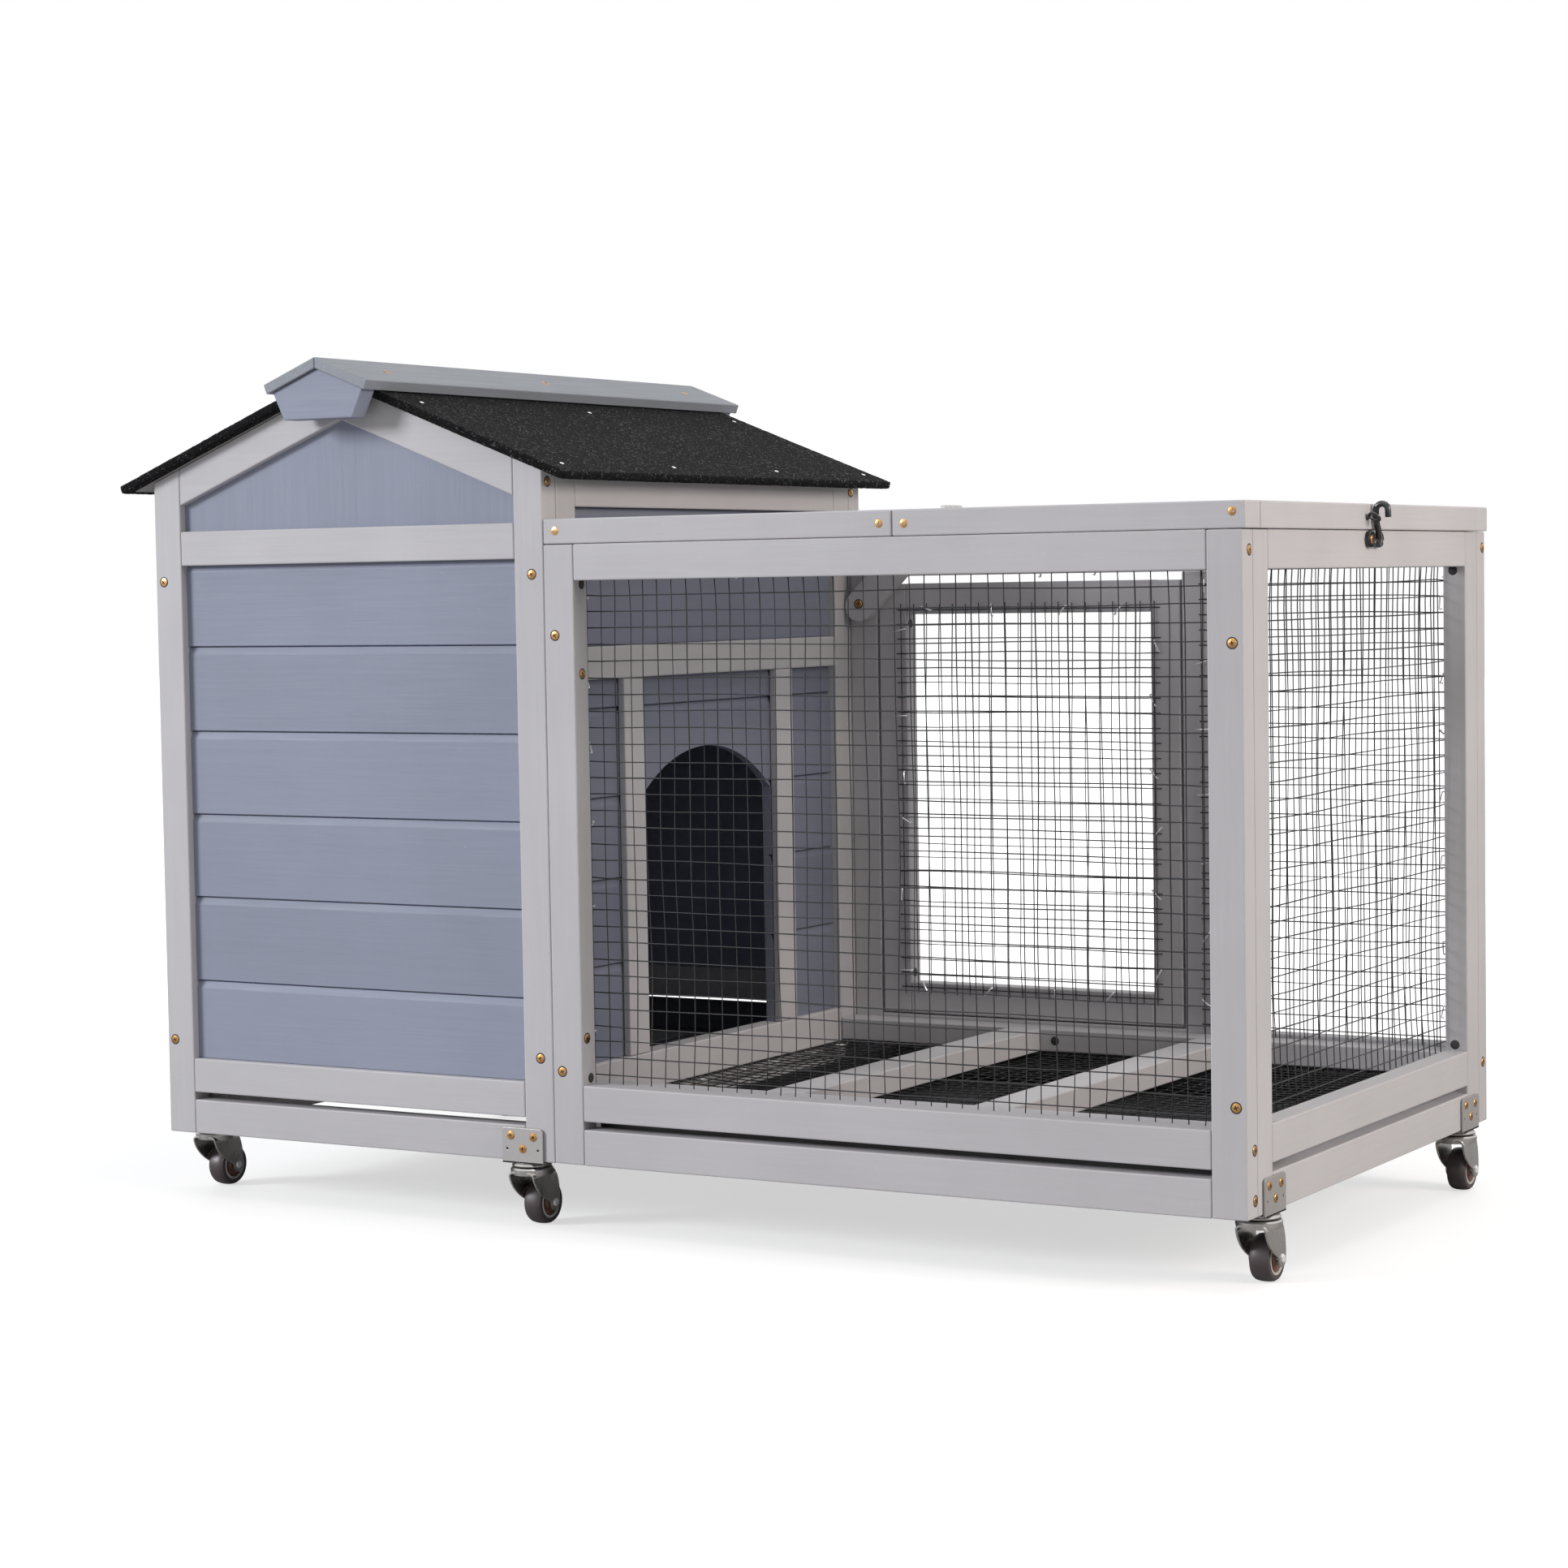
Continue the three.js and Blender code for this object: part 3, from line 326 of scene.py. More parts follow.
# This zinc's near-white colour is partly the pale zinc and partly painted glint, so that staples, nails
# and axles show bright.
zinc_with_painted_glint = mottled("zinc_with_painted_glint", (0.92, 0.92, 0.93), (0.78, 0.78, 0.80), (90, 800), (0.2, 0.32),
                      metallic=0.25, coat=0.6)
gloss_black = mottled("gloss_black", (0.012, 0.012, 0.013), (0.03, 0.03, 0.032), (80, 500),
                      (0.16, 0.34), coat=0.4)
dull_black = mottled("dull_black", (0.02, 0.018, 0.018), (0.045, 0.04, 0.038), (120, 900), (0.5, 0.7))
tyre_rubber = mottled("tyre_rubber", (0.075, 0.058, 0.062), (0.05, 0.04, 0.042), (50, 600),
                      (0.32, 0.52))
hub_brown = mottled("hub_brown", (0.21, 0.105, 0.075), (0.15, 0.075, 0.055), (70, 700), (0.35, 0.5))
ring_grey = mottled("ring_grey", (0.58, 0.56, 0.53), (0.47, 0.45, 0.43), (70, 700), (0.4, 0.55))
tray_grey = mottled("tray_grey", (0.085, 0.09, 0.12), (0.06, 0.064, 0.085), (9, 650), (0.38, 0.55),
                    (0.35, 0.0004))
tray_black = mottled("tray_black", (0.014, 0.014, 0.016), (0.024, 0.024, 0.027), (9, 650), (0.36, 0.55),
                     (0.35, 0.0004))
print("mottled finishes ready")

# %% [markdown]
# ### Mineral felt
# Roofing felt is bitumen paper pressed full of slate grit. The grit is near black with scattered
# pale chips that catch the light. Cells of a Voronoi pattern make good grit, because each cell can
# take its own grey: most stay dark, and only the brightest few become chips.

# %% Felt and floor
def build_felt():
    material, tree, shader = new_material("mineral_felt")
    place = put(tree, "TexCoord").outputs["Object"]
    grit = put(tree, "TexVoronoi", {"Vector": place, "Scale": 780.0})
    grey = put(tree, "SeparateColor", {0: grit.outputs["Color"]}).outputs[0]
    body = mixed(tree, grey, (0.004, 0.004, 0.005, 1), (0.016, 0.016, 0.017, 1))
    chips = ramp(tree, grey, 0.9, 0.97)
    clouds = ramp(tree, speckle(tree, place, 14.0), 0.35, 0.7, 0.25, 1.0)
    colour = mixed(tree, maths(tree, "MULTIPLY", chips, clouds), body, (0.115, 0.115, 0.118, 1))
    roughness = ramp(tree, chips, 0.0, 1.0, 0.88, 0.4)
    feed(tree, shader, colour, roughness, grit.outputs["Distance"], 1.0, 0.0018)
    shader.inputs["Specular IOR Level"].default_value = 0.12
    return material


mineral_felt = build_felt()
roof_board = painted("roof_board", "Y", (0.30, 0.29, 0.28), (0.22, 0.21, 0.20), (0.36, 0.35, 0.34), 0.4)


def build_floor_finish():
    """A floor that looks white to the camera, with faint shadows, but lights the hutch only dimly."""
    material, tree, shader = new_material("studio_floor")
    place = put(tree, "TexCoord").outputs["Object"]
    patches = speckle(tree, place, 3.0)
    seen = put(tree, "LightPath").outputs["Is Camera Ray"]
    pale = mixed(tree, ramp(tree, patches, 0.3, 0.7), (0.50, 0.50, 0.50, 1), (0.52, 0.52, 0.515, 1))
    away = put(tree, "VectorMath", {0: place}, operation="LENGTH").outputs["Value"]
    glow = mixed(tree, ramp(tree, away, 0.75, 1.7), (0.60, 0.60, 0.60, 1), (1.0, 1.0, 1.0, 1))
    tree.links.new(mixed(tree, seen, (0.0, 0.0, 0.0, 1), glow), shader.inputs["Emission Color"])
    shader.inputs["Emission Strength"].default_value = 1.0
    colour = mixed(tree, seen, (0.42, 0.42, 0.42, 1), pale)
    feed(tree, shader, colour, ramp(tree, patches, 0.3, 0.7, 0.55, 0.7), patches, 0.05, 0.001)
    shader.inputs["Specular IOR Level"].default_value = 0.1
    return material


sheet = bmesh.new()
bmesh.ops.create_grid(sheet, x_segments=2, y_segments=2, size=14)
floor_mesh = bpy.data.meshes.new("studio_floor")
sheet.to_mesh(floor_mesh)
sheet.free()
floor_mesh.materials.append(build_floor_finish())
floor = bpy.data.objects.new("studio_floor", floor_mesh)
bpy.context.scene.collection.objects.link(floor)
print("felt and floor ready")

# %% [markdown]
# ## How the pieces are made
# Timbers start as a cube or a pushed outline and get their arrises rounded by a bevel. Turned pieces
# are a profile spun round its axis, and bent wire and hooks are a ring of points pulled along a
# line. Small repeated pieces such as screws are made once and copied into one mesh.

# %% Piece helpers
def finish_piece(name, work, finishes, body, stands_for=(), smooth=None):
    """Turns a bmesh into a piece that rides on a body. smooth is the sharpest angle shaded smooth."""
    bmesh.ops.recalc_face_normals(work, faces=work.faces)
    mesh = bpy.data.meshes.new(name)
    work.to_mesh(mesh)
    work.free()
    for finish in finishes:
        mesh.materials.append(finish)
    if smooth:
        mesh.shade_smooth()
        mesh.set_sharp_from_angle(angle=math.radians(smooth))
    piece = bpy.data.objects.new(name, mesh)
    bpy.context.scene.collection.objects.link(piece)
    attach(piece, body)
    if stands_for:
        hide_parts(*stands_for)
    return piece


def round_edges(work, width, segments=2, edges=None):
    """Bevels a bmesh's edges and marks the bevels for the paint."""
    worn = work.faces.layers.float.get("edge") or work.faces.layers.float.new("edge")
    made = bmesh.ops.bevel(work, geom=edges or work.edges[:], offset=width, offset_type="OFFSET",
                           segments=segments, profile=0.5, affect="EDGES", material=-1,
                           clamp_overlap=True)
    for face in made["faces"]:
        face[worn] = 1.0


def vary_timber_and_paint_shade(work, spread, painted_shade=0.0):
    """Makes a whole timber a little lighter or darker than its neighbours; the last argument darkens it
    further as painted shade.
    """
    tone_and_painted_shade = work.faces.layers.float.new("tone_and_painted_shade")
    shade = chance.uniform(-spread, spread) - painted_shade
    for face in work.faces:
        face[tone_and_painted_shade] = shade


def pushed(outline, axis, span):
    """An outline pushed along an axis: drawn as Y, Z along X, as X, Z along Y, or as X, Y along Z."""
    spots = {"X": lambda u, v, w: (w, u, v),
             "Y": lambda u, v, w: (u, w, v),
             "Z": lambda u, v, w: (u, v, w)}
    spot = spots[axis]
    work = bmesh.new()
    face = work.faces.new([work.verts.new(spot(u, v, span[0])) for u, v in outline])
    made = bmesh.ops.extrude_face_region(work, geom=[face])
    moved = [v for v in made["geom"] if isinstance(v, bmesh.types.BMVert)]
    bmesh.ops.translate(work, verts=moved, vec=Vector(spot(0, 0, span[1] - span[0])))
    open_edges = [e for e in work.edges if e.is_boundary]
    if open_edges:
        bmesh.ops.holes_fill(work, edges=open_edges)
    return work


def cuboid(low, high):
    """A plain block between two corners."""
    work = bmesh.new()
    size = Vector(high) - Vector(low)
    place = Matrix.Translation((Vector(low) + Vector(high)) / 2) @ Matrix.Diagonal((*size, 1))
    bmesh.ops.create_cube(work, size=1.0, matrix=place)
    return work


def turned(profile, steps=24):
    """A profile of (radius, height) pairs spun round Z."""
    work = bmesh.new()
    spots = [work.verts.new((radius, 0, height)) for radius, height in profile]
    edges = [work.edges.new(pair) for pair in zip(spots, spots[1:])]
    bmesh.ops.spin(work, geom=spots + edges, axis=(0, 0, 1), cent=(0, 0, 0), angle=math.tau,
                   steps=steps, use_merge=True, use_duplicate=False)
    bmesh.ops.remove_doubles(work, verts=work.verts, dist=1e-6)
    return work


def bent_rod(points, radius, sides=8):
    """A rod of round section through points: a ring at every point, then skins between the rings."""
    work = bmesh.new()
    points = [Vector(p) for p in points]
    ways = [(b - a).normalized() for a, b in zip(points, points[1:])]
    turn = ways[0].to_track_quat("Z", "Y")
    heading = ways[0]
    rings = []
    for index, point in enumerate(points):
        before = ways[max(index - 1, 0)]
        after = ways[min(index, len(ways) - 1)]
        bisector = (before + after).normalized()
        turn = heading.rotation_difference(bisector) @ turn
        heading = bisector
        matrix = Matrix.Translation(point) @ turn.to_matrix().to_4x4()
        spots = bmesh.ops.create_circle(work, segments=sides, radius=radius, matrix=matrix)["verts"]
        rings.append(list({e for v in spots for e in v.link_edges}))
    for one, two in zip(rings, rings[1:]):
        bmesh.ops.bridge_loops(work, edges=one + two)
    bmesh.ops.holes_fill(work, edges=[e for e in work.edges if e.is_boundary])
    return work


def template(work, name):
    """A bmesh kept as a mesh, to be copied into pieces."""
    bmesh.ops.recalc_face_normals(work, faces=work.faces)
    mesh = bpy.data.meshes.new(name)
    work.to_mesh(mesh)
    work.free()
    return mesh


def add_copy(work, pattern, place):
    """Copies a template into a bmesh at a place, and returns its new vertices."""
    known = set(work.verts)
    work.from_mesh(pattern)
    fresh = [v for v in work.verts if v not in known]
    bmesh.ops.transform(work, matrix=place, verts=fresh)
    return fresh


def facing(normal, point, turn=0.0):
    """A placement that turns Z to a normal at a point, and spins the copy about it."""
    quaternion = Vector(normal).to_track_quat("Z", "Y")
    return Matrix.Translation(point) @ quaternion.to_matrix().to_4x4() @ Matrix.Rotation(turn, 4, "Z")


def cut_out(work, cutter, operation="DIFFERENCE"):
    """Takes one bmesh out of another with a boolean, and returns the rest."""
    holders = []
    for part in (work, cutter):
        holders.append(bpy.data.objects.new("cutting", template(part, "cutting")))
        bpy.context.scene.collection.objects.link(holders[-1])
    boolean = holders[0].modifiers.new("cut", "BOOLEAN")
    boolean.object = holders[1]
    boolean.operation = operation
    boolean.solver = "EXACT"
    bpy.context.view_layer.update()
    shaped = holders[0].evaluated_get(bpy.context.evaluated_depsgraph_get())
    rest = bmesh.new()
    rest.from_mesh(shaped.to_mesh())
    for holder in holders:
        bpy.data.objects.remove(holder)
    return rest


print("piece helpers ready")

# %% [markdown]
# ## Framed walls
# Each wall is a frame of painted timbers: two uprights the full height, with rails butted between
# them. The CAD keeps each frame as one solid. Here every timber is a piece of its own, so that the
# joints show as fine dark lines and the grain runs along each timber, as on the real hutch.

# %% Timbers and their sizes
STILE = 28 * mm
RAIL = 29 * mm
SLOT = 6.5 * mm
THICKNESS = 19.5 * mm
ARRIS = 1.1 * mm
JOINT = 0.24 * mm


def timber(name, low, high, node, body="hutch", arris=ARRIS, finishes=frame_paint):
    """A planed timber between two corners, with its grain along its longest side."""
    low, high = Vector(low), Vector(high)
    size = high - low
    along = max(range(3), key=lambda axis: size[axis])
    low[along] += JOINT
    high[along] -= JOINT
    work = cuboid(low, high)
    round_edges(work, arris)
    vary_timber_and_paint_shade(work, 0.03)
    return finish_piece(name, work, [finishes["XYZ"[along]]], body, [node])


def bar(run_axis, run, across, level):
    """A timber's corners from its ranges along the wall, through it and upwards."""
    if run_axis == "X":
        return (run[0], across[0], level[0]), (run[1], across[1], level[1])
    return (across[0], run[0], level[0]), (across[1], run[1], level[1])


def framed_wall(node, run_axis, run, across, level, rails, body="hutch", stile=STILE):
    """Two stiles and the rails between them, as separate pieces."""
    prefix = node.removesuffix("_frame")
    stiles = {"near_stile": (run[0], run[0] + stile), "far_stile": (run[1] - stile, run[1])}
    for label, reach in stiles.items():
        timber(f"{prefix}_{label}", *bar(run_axis, reach, across, level), node, body)
    between = (run[0] + stile, run[1] - stile)
    for label, span in rails.items():
        timber(f"{prefix}_{label}", *bar(run_axis, between, across, span), node, body)


house_low, house_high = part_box("house_front_frame")
rear_house_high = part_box("house_rear_frame")[1]
left_wall_low, left_wall_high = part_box("house_left_frame")
run_low, run_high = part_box("run_front_frame")
run_rear_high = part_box("run_rear_frame")[1]
base = house_low.z
run_top = run_high.z
lower_rail = (base, base + RAIL)
upper_rail = (base + RAIL + SLOT, base + 2 * RAIL + SLOT)
run_top_rail = (run_top - RAIL, run_top)
print("frames stand", round(base / mm), "mm off the floor and reach", round(run_top / mm), "mm")

# %% Run frames
front_across = (run_low.y, run_low.y + THICKNESS)
rear_across = (run_rear_high.y - THICKNESS, run_rear_high.y)
side_run = (left_wall_low.y, left_wall_high.y)
end_across = (run_high.x - THICKNESS, run_high.x)
run_rails = {"lower_rail": lower_rail, "upper_rail": upper_rail, "top_rail": run_top_rail}
framed_wall("run_front_frame", "X", (run_low.x, run_high.x), front_across, (base, run_top), run_rails)
framed_wall("run_end_frame", "Y", side_run, end_across, (base, run_top), run_rails)
rear_rails = {"upper_rail": (upper_rail[0], upper_rail[1] + 1.7 * mm), "top_rail": run_top_rail}
framed_wall("run_rear_frame", "X", (run_low.x, run_high.x), rear_across, (base, run_top), rear_rails)

MID_POST = 26 * mm
DOOR_GAP = 2 * mm
door_low, door_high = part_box("door_frame")
mid_post_x = (door_high.x + DOOR_GAP, door_high.x + DOOR_GAP + MID_POST)
timber("run_rear_mid_post", *bar("X", mid_post_x, rear_across, (upper_rail[1], run_top_rail[0])),
       "run_rear_frame")

door_rails = {"lower_rail": (door_low.z, door_low.z + STILE),
              "upper_rail": (door_high.z - STILE, door_high.z)}
framed_wall("door_frame", "X", (door_low.x, door_high.x), (door_low.y, door_high.y),
            (door_low.z, door_high.z),
            door_rails, "rear_door")

# %% House side walls
TRAY_LEDGE = 20 * mm
LEDGE_REACH = 22.5 * mm
LEDGE_END_GAP = 5 * mm
house_tray_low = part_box("house_tray")[0]
run_tray_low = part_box("run_tray")[0]
side_top = left_wall_high.z
side_top_rail = (side_top - RAIL, side_top)
left_across = (house_low.x, house_low.x + THICKNESS)
right_across = (house_high.x - THICKNESS, house_high.x)
left_rails = {"lower_rail": lower_rail, "upper_rail": upper_rail, "top_rail": side_top_rail}
framed_wall("house_left_frame", "Y", side_run, left_across, (base, side_top), left_rails)

DOORWAY_POST = 30 * mm
POST_DEPTH = 6.5 * mm
SILL = 30 * mm
WALL_RAIL = (387.5 * mm, 414.5 * mm)
doorway_sill = (base + 42 * mm, base + 42 * mm + SILL)
wall_rail = (base + WALL_RAIL[0], base + WALL_RAIL[1])
right_rails = {"lower_rail": lower_rail, "sill": doorway_sill, "wall_rail": wall_rail,
               "top_rail": side_top_rail}
framed_wall("house_right_frame", "Y", side_run, right_across, (base, side_top), right_rails)

DOORWAY_MIDDLE = 254 * mm
DOORWAY_WIDTH = 217 * mm
doorway_y = house_low.y + DOORWAY_MIDDLE
post_across = (house_high.x - POST_DEPTH, house_high.x)
for label, start in {"near": doorway_y - DOORWAY_WIDTH / 2 - DOORWAY_POST,
                     "far": doorway_y + DOORWAY_WIDTH / 2}.items():
    reach = (start, start + DOORWAY_POST)
    timber(f"doorway_{label}_post", *bar("Y", reach, post_across, (doorway_sill[1], wall_rail[0])),
           "house_right_frame")


def tray_ledge(name, x_range, top, height, node):
    """A batten fixed to a wall, on which a tray slides."""
    reach = (side_run[0] + LEDGE_END_GAP, side_run[1] - LEDGE_END_GAP)
    timber(name, (x_range[0], reach[0], top - height), (x_range[1], reach[1], top), node)


house_ledge_top = house_tray_low.z - 0.3 * mm
run_ledge_top = run_tray_low.z - 0.3 * mm
run_ledge_height = run_ledge_top - base
tray_ledge("house_left_ledge", (left_across[1], left_across[1] + LEDGE_REACH), house_ledge_top,
           TRAY_LEDGE, "house_left_frame")
tray_ledge("house_right_ledge", (right_across[0] - LEDGE_REACH, right_across[0]), house_ledge_top,
           TRAY_LEDGE, "house_right_frame")
tray_ledge("run_left_ledge", (house_high.x + 0.3 * mm, house_high.x + STILE + LEDGE_REACH),
           run_ledge_top, run_ledge_height, "house_right_frame")
tray_ledge("run_right_ledge", (end_across[0] - STILE - LEDGE_REACH, end_across[0]), run_ledge_top,
           run_ledge_height, "run_end_frame")
print("house side walls framed")

# %% [markdown]
# ### Gable walls
# The front and rear walls rise to a gable. Their stiles are cut to the roof's slope at the top, and
# two sloping rails meet on the ridge line. Those five timbers aren't blocks, so each is an outline
# pushed through the wall's thickness and bevelled afterwards.

# %% Gable frames
ROOF_RISE = 78 * mm
SLOPING_RAIL = 31 * mm
GABLE_DROP = 71 * mm
ridge_x = (house_low.x + house_high.x) / 2
ridge_z = house_high.z
slope = ROOF_RISE / (house_high.x - ridge_x)
roof_pitch = math.atan(slope)
gable_rail_foot = ridge_z - ROOF_RISE - GABLE_DROP


def roof_line(x, drop=0.0):
    """Height of the gable's top edge at x, less a drop."""
    return ridge_z - slope * abs(x - ridge_x) - drop


def shaped_timber(name, outline, axis, span, along, node, finishes=frame_paint,
                  arris=ARRIS):
    """A timber that isn't a block: its outline is pushed through, bevelled and painted."""
    work = pushed(outline, axis, span)
    round_edges(work, arris)
    vary_timber_and_paint_shade(work, 0.03)
    return finish_piece(name, work, [finishes[along]], "hutch", [node])


def gable_frame(node, across, rails):
    """A gable wall: sloped-top stiles, level rails and two sloping rails."""
    prefix = node.removesuffix("_frame")
    left, right = house_low.x, house_high.x
    inner_left, inner_right = left + STILE, right - STILE
    for label, (a, b) in {"left_stile": (left, inner_left),
                          "right_stile": (inner_right, right)}.items():
        outline = [(a, base), (b, base), (b, roof_line(b)), (a, roof_line(a))]
        shaped_timber(f"{prefix}_{label}", outline, "Y", across, "Z", node)
    for label, (low, high) in rails.items():
        timber(f"{prefix}_{label}", (inner_left, across[0], low), (inner_right, across[1], high), node)
    for label, foot, joint in (("left", inner_left + JOINT, -JOINT),
                               ("right", inner_right - JOINT, JOINT)):
        top = ridge_x + joint
        outline = [(foot, roof_line(foot, SLOPING_RAIL)), (top, roof_line(top, SLOPING_RAIL)),
                   (top, roof_line(top)), (foot, roof_line(foot))]
        shaped_timber(f"{prefix}_{label}_sloping_rail", outline, "Y", across, "X", node)


TRAY_MOUTH = 71 * mm
gable_rail = (gable_rail_foot, gable_rail_foot + RAIL)
front_rails = {"lower_rail": lower_rail, "upper_rail": upper_rail, "gable_rail": gable_rail}
mouth_rail = (base + TRAY_MOUTH, base + TRAY_MOUTH + RAIL)
gable_frame("house_front_frame", (house_low.y, house_low.y + THICKNESS), front_rails)
gable_frame("house_rear_frame", (rear_house_high.y - THICKNESS, rear_house_high.y),
            {"lower_rail": lower_rail, "upper_rail": mouth_rail, "gable_rail": gable_rail})
print("ridge is", round(ridge_z / mm), "mm high, roof pitch", round(math.degrees(roof_pitch), 1),
      "degrees")

# %% [markdown]
# ## Boarding
# The walls are filled with level boards that overlap a little. The top edge of each is planed back
# to a slope, so under every joint there is a dark line and a narrow rough band. A groove drawn only
# in the material would vanish from the side, so each board gets this edge in its own outline.

# %% Boards
BOARD_RECESS = 6.8 * mm
BOARD_THICKNESS = 8 * mm
BOARD_SLOPE = (2.4 * mm, 6 * mm)
BOARD_GAP = 1.0 * mm
BOARD_STEP = 3.6 * mm
HOUSING = 0.8 * mm


def board_outline(outer, inwards, level):
    """A board's section as (through the wall, height), with its top edge sloped back."""
    low, high = level
    back = outer + inwards * BOARD_THICKNESS
    step = outer + inwards * BOARD_STEP
    return [(outer, low + BOARD_GAP), (step, low + BOARD_GAP), (step, low), (back, low), (back, high),
            (outer + inwards * BOARD_SLOPE[0], high), (outer, high - BOARD_SLOPE[1])]


def boards(prefix, node, axis, run, outer, inwards, joints, doorway=None, painted_shade=0.0):
    """Level boards between joint heights along X or Y, cut round a doorway if one is given, and darkened
    by the last argument as painted shade.
    """
    for index, level in enumerate(zip(joints, joints[1:])):
        section = board_outline(outer, inwards, level)
        span = (run[0] - HOUSING, run[1] + HOUSING)
        if axis == "X":
            work = pushed(section, "X", span)
        else:
            work = pushed([(u, v) for u, v in section], "Y", span)
        round_edges(work, 0.4 * mm, 1)
        vary_timber_and_paint_shade(work, 0.045, painted_shade)
        if doorway and level[0] < doorway["top"]:
            work = cut_out(work, doorway["cutter"]())
        finish_piece(f"{prefix}_{index + 1}", work, [board_paint[axis]], "hutch", [node])


def levels(*above_floor):
    """Heights above the floor in millimetres, as metres."""
    return [height * mm for height in above_floor]


inner_x = (house_low.x + STILE, house_high.x - STILE)
inner_y = (side_run[0] + STILE, side_run[1] - STILE)
front_joints = [upper_rail[1] - HOUSING, *levels(186, 258, 329, 400, 472), gable_rail[0] + HOUSING]
boards("house_front_board", "house_front_boards", "X", inner_x, house_low.y + BOARD_RECESS, 1,
       front_joints)
rear_joints = [mouth_rail[1] - HOUSING, *levels(205, 276, 347, 418, 490), gable_rail[0] + HOUSING]
boards("house_rear_board", "house_rear_boards", "X", inner_x, rear_house_high.y - BOARD_RECESS, -1,
       rear_joints)
left_joints = [upper_rail[1] - HOUSING, *levels(190, 261, 332, 403, 474, 545),
               side_top_rail[0] + HOUSING]
boards("house_left_board", "house_left_boards", "Y", inner_y, house_low.x + BOARD_RECESS, 1,
       left_joints)

# %% Boards round the doorway
DOORWAY_SPRING = 283 * mm
DOORWAY_RISE = 42 * mm
ARCH_STEPS = 28


def doorway_cutter():
    """The doorway as a solid: upright sides and a flat arch, pushed through the wall."""
    half = DOORWAY_WIDTH / 2
    radius = (half ** 2 + DOORWAY_RISE ** 2) / (2 * DOORWAY_RISE)
    centre = base + DOORWAY_SPRING + DOORWAY_RISE - radius
    opening = math.asin(half / radius)
    outline = [(doorway_y - half, doorway_sill[1] - HOUSING),
               (doorway_y + half, doorway_sill[1] - HOUSING)]
    for step in range(ARCH_STEPS + 1):
        angle = opening - 2 * opening * step / ARCH_STEPS
        outline.append((doorway_y + radius * math.sin(angle), centre + radius * math.cos(angle)))
    return pushed(outline, "X", (right_across[0] - THICKNESS, house_high.x + THICKNESS))


doorway = {"cutter": doorway_cutter, "top": base + DOORWAY_SPRING + DOORWAY_RISE}
right_outer = house_high.x - BOARD_RECESS
right_joints = [doorway_sill[1] - HOUSING, *levels(205, 276, 344, 418), wall_rail[0] + HOUSING]
# The boards of the house's side inside the run are darkened by 0.3 as painted shade.
boards("house_right_board", "house_right_boards", "Y", inner_y, right_outer, -1, right_joints, doorway,
       0.3)
upper_joints = [wall_rail[1] - HOUSING, *levels(528), side_top_rail[0] + HOUSING]
# The boards above the wall rail are darkened by 0.22 as painted shade.
boards("house_right_upper_board", "house_right_boards", "Y", inner_y, right_outer, -1, upper_joints,
       painted_shade=0.22)
print("doorway is", round(DOORWAY_WIDTH / mm), "mm wide")

# %% [markdown]
# ### Gable boards
# The triangle under the roof is closed with a single board whose grain stands upright.

# %% Gable boards
def gable_boards(end, outer, inwards):
    """The board between the gable rail and the sloping rails."""
    foot = gable_rail[1] - HOUSING
    lift = SLOPING_RAIL - HOUSING
    left, right = inner_x[0] - HOUSING, inner_x[1] + HOUSING
    outline = [(left, foot), (right, foot), (right, roof_line(right, lift)),
               (ridge_x, roof_line(ridge_x, lift)), (left, roof_line(left, lift))]
    across = sorted((outer, outer + inwards * BOARD_THICKNESS))
    shaped_timber(f"house_{end}_gable_board", outline, "Y", across, "Z",
                  f"house_{end}_boards", board_paint, 0.2 * mm)


gable_boards("front", house_low.y + BOARD_RECESS, 1)
gable_boards("rear", rear_house_high.y - BOARD_RECESS, -1)
print("gables boarded")

# %% [markdown]
# ## Roof
# Each roof half is a thin board wrapped in felt. The felt is folded round the board's edges, so the
# roof's rim looks thick, soft and rough. A voxel remesh turns a plain slab into an even skin of small
# faces with softened edges, and pushing its points in and out by a fine noise gives the grit a real
# outline against the sky. The slab is made lying flat, where the voxels fit it, and tilted last.

# %% Felted roof halves
FELT_VOXEL = 2.6 * mm
GRIT = 0.42 * mm
SAG = 0.9 * mm


def remeshed(work, voxel):
    """A bmesh rebuilt as an even skin by the Remesh modifier."""
    holder = bpy.data.objects.new("skin", template(work, "skin"))
    bpy.context.scene.collection.objects.link(holder)
    skin = holder.modifiers.new("skin", "REMESH")
    skin.mode = "VOXEL"
    skin.voxel_size = voxel
    bpy.context.view_layer.update()
    shaped = holder.evaluated_get(bpy.context.evaluated_depsgraph_get())
    rest = bmesh.new()
    rest.from_mesh(shaped.to_mesh())
    bpy.data.objects.remove(holder)
    return rest


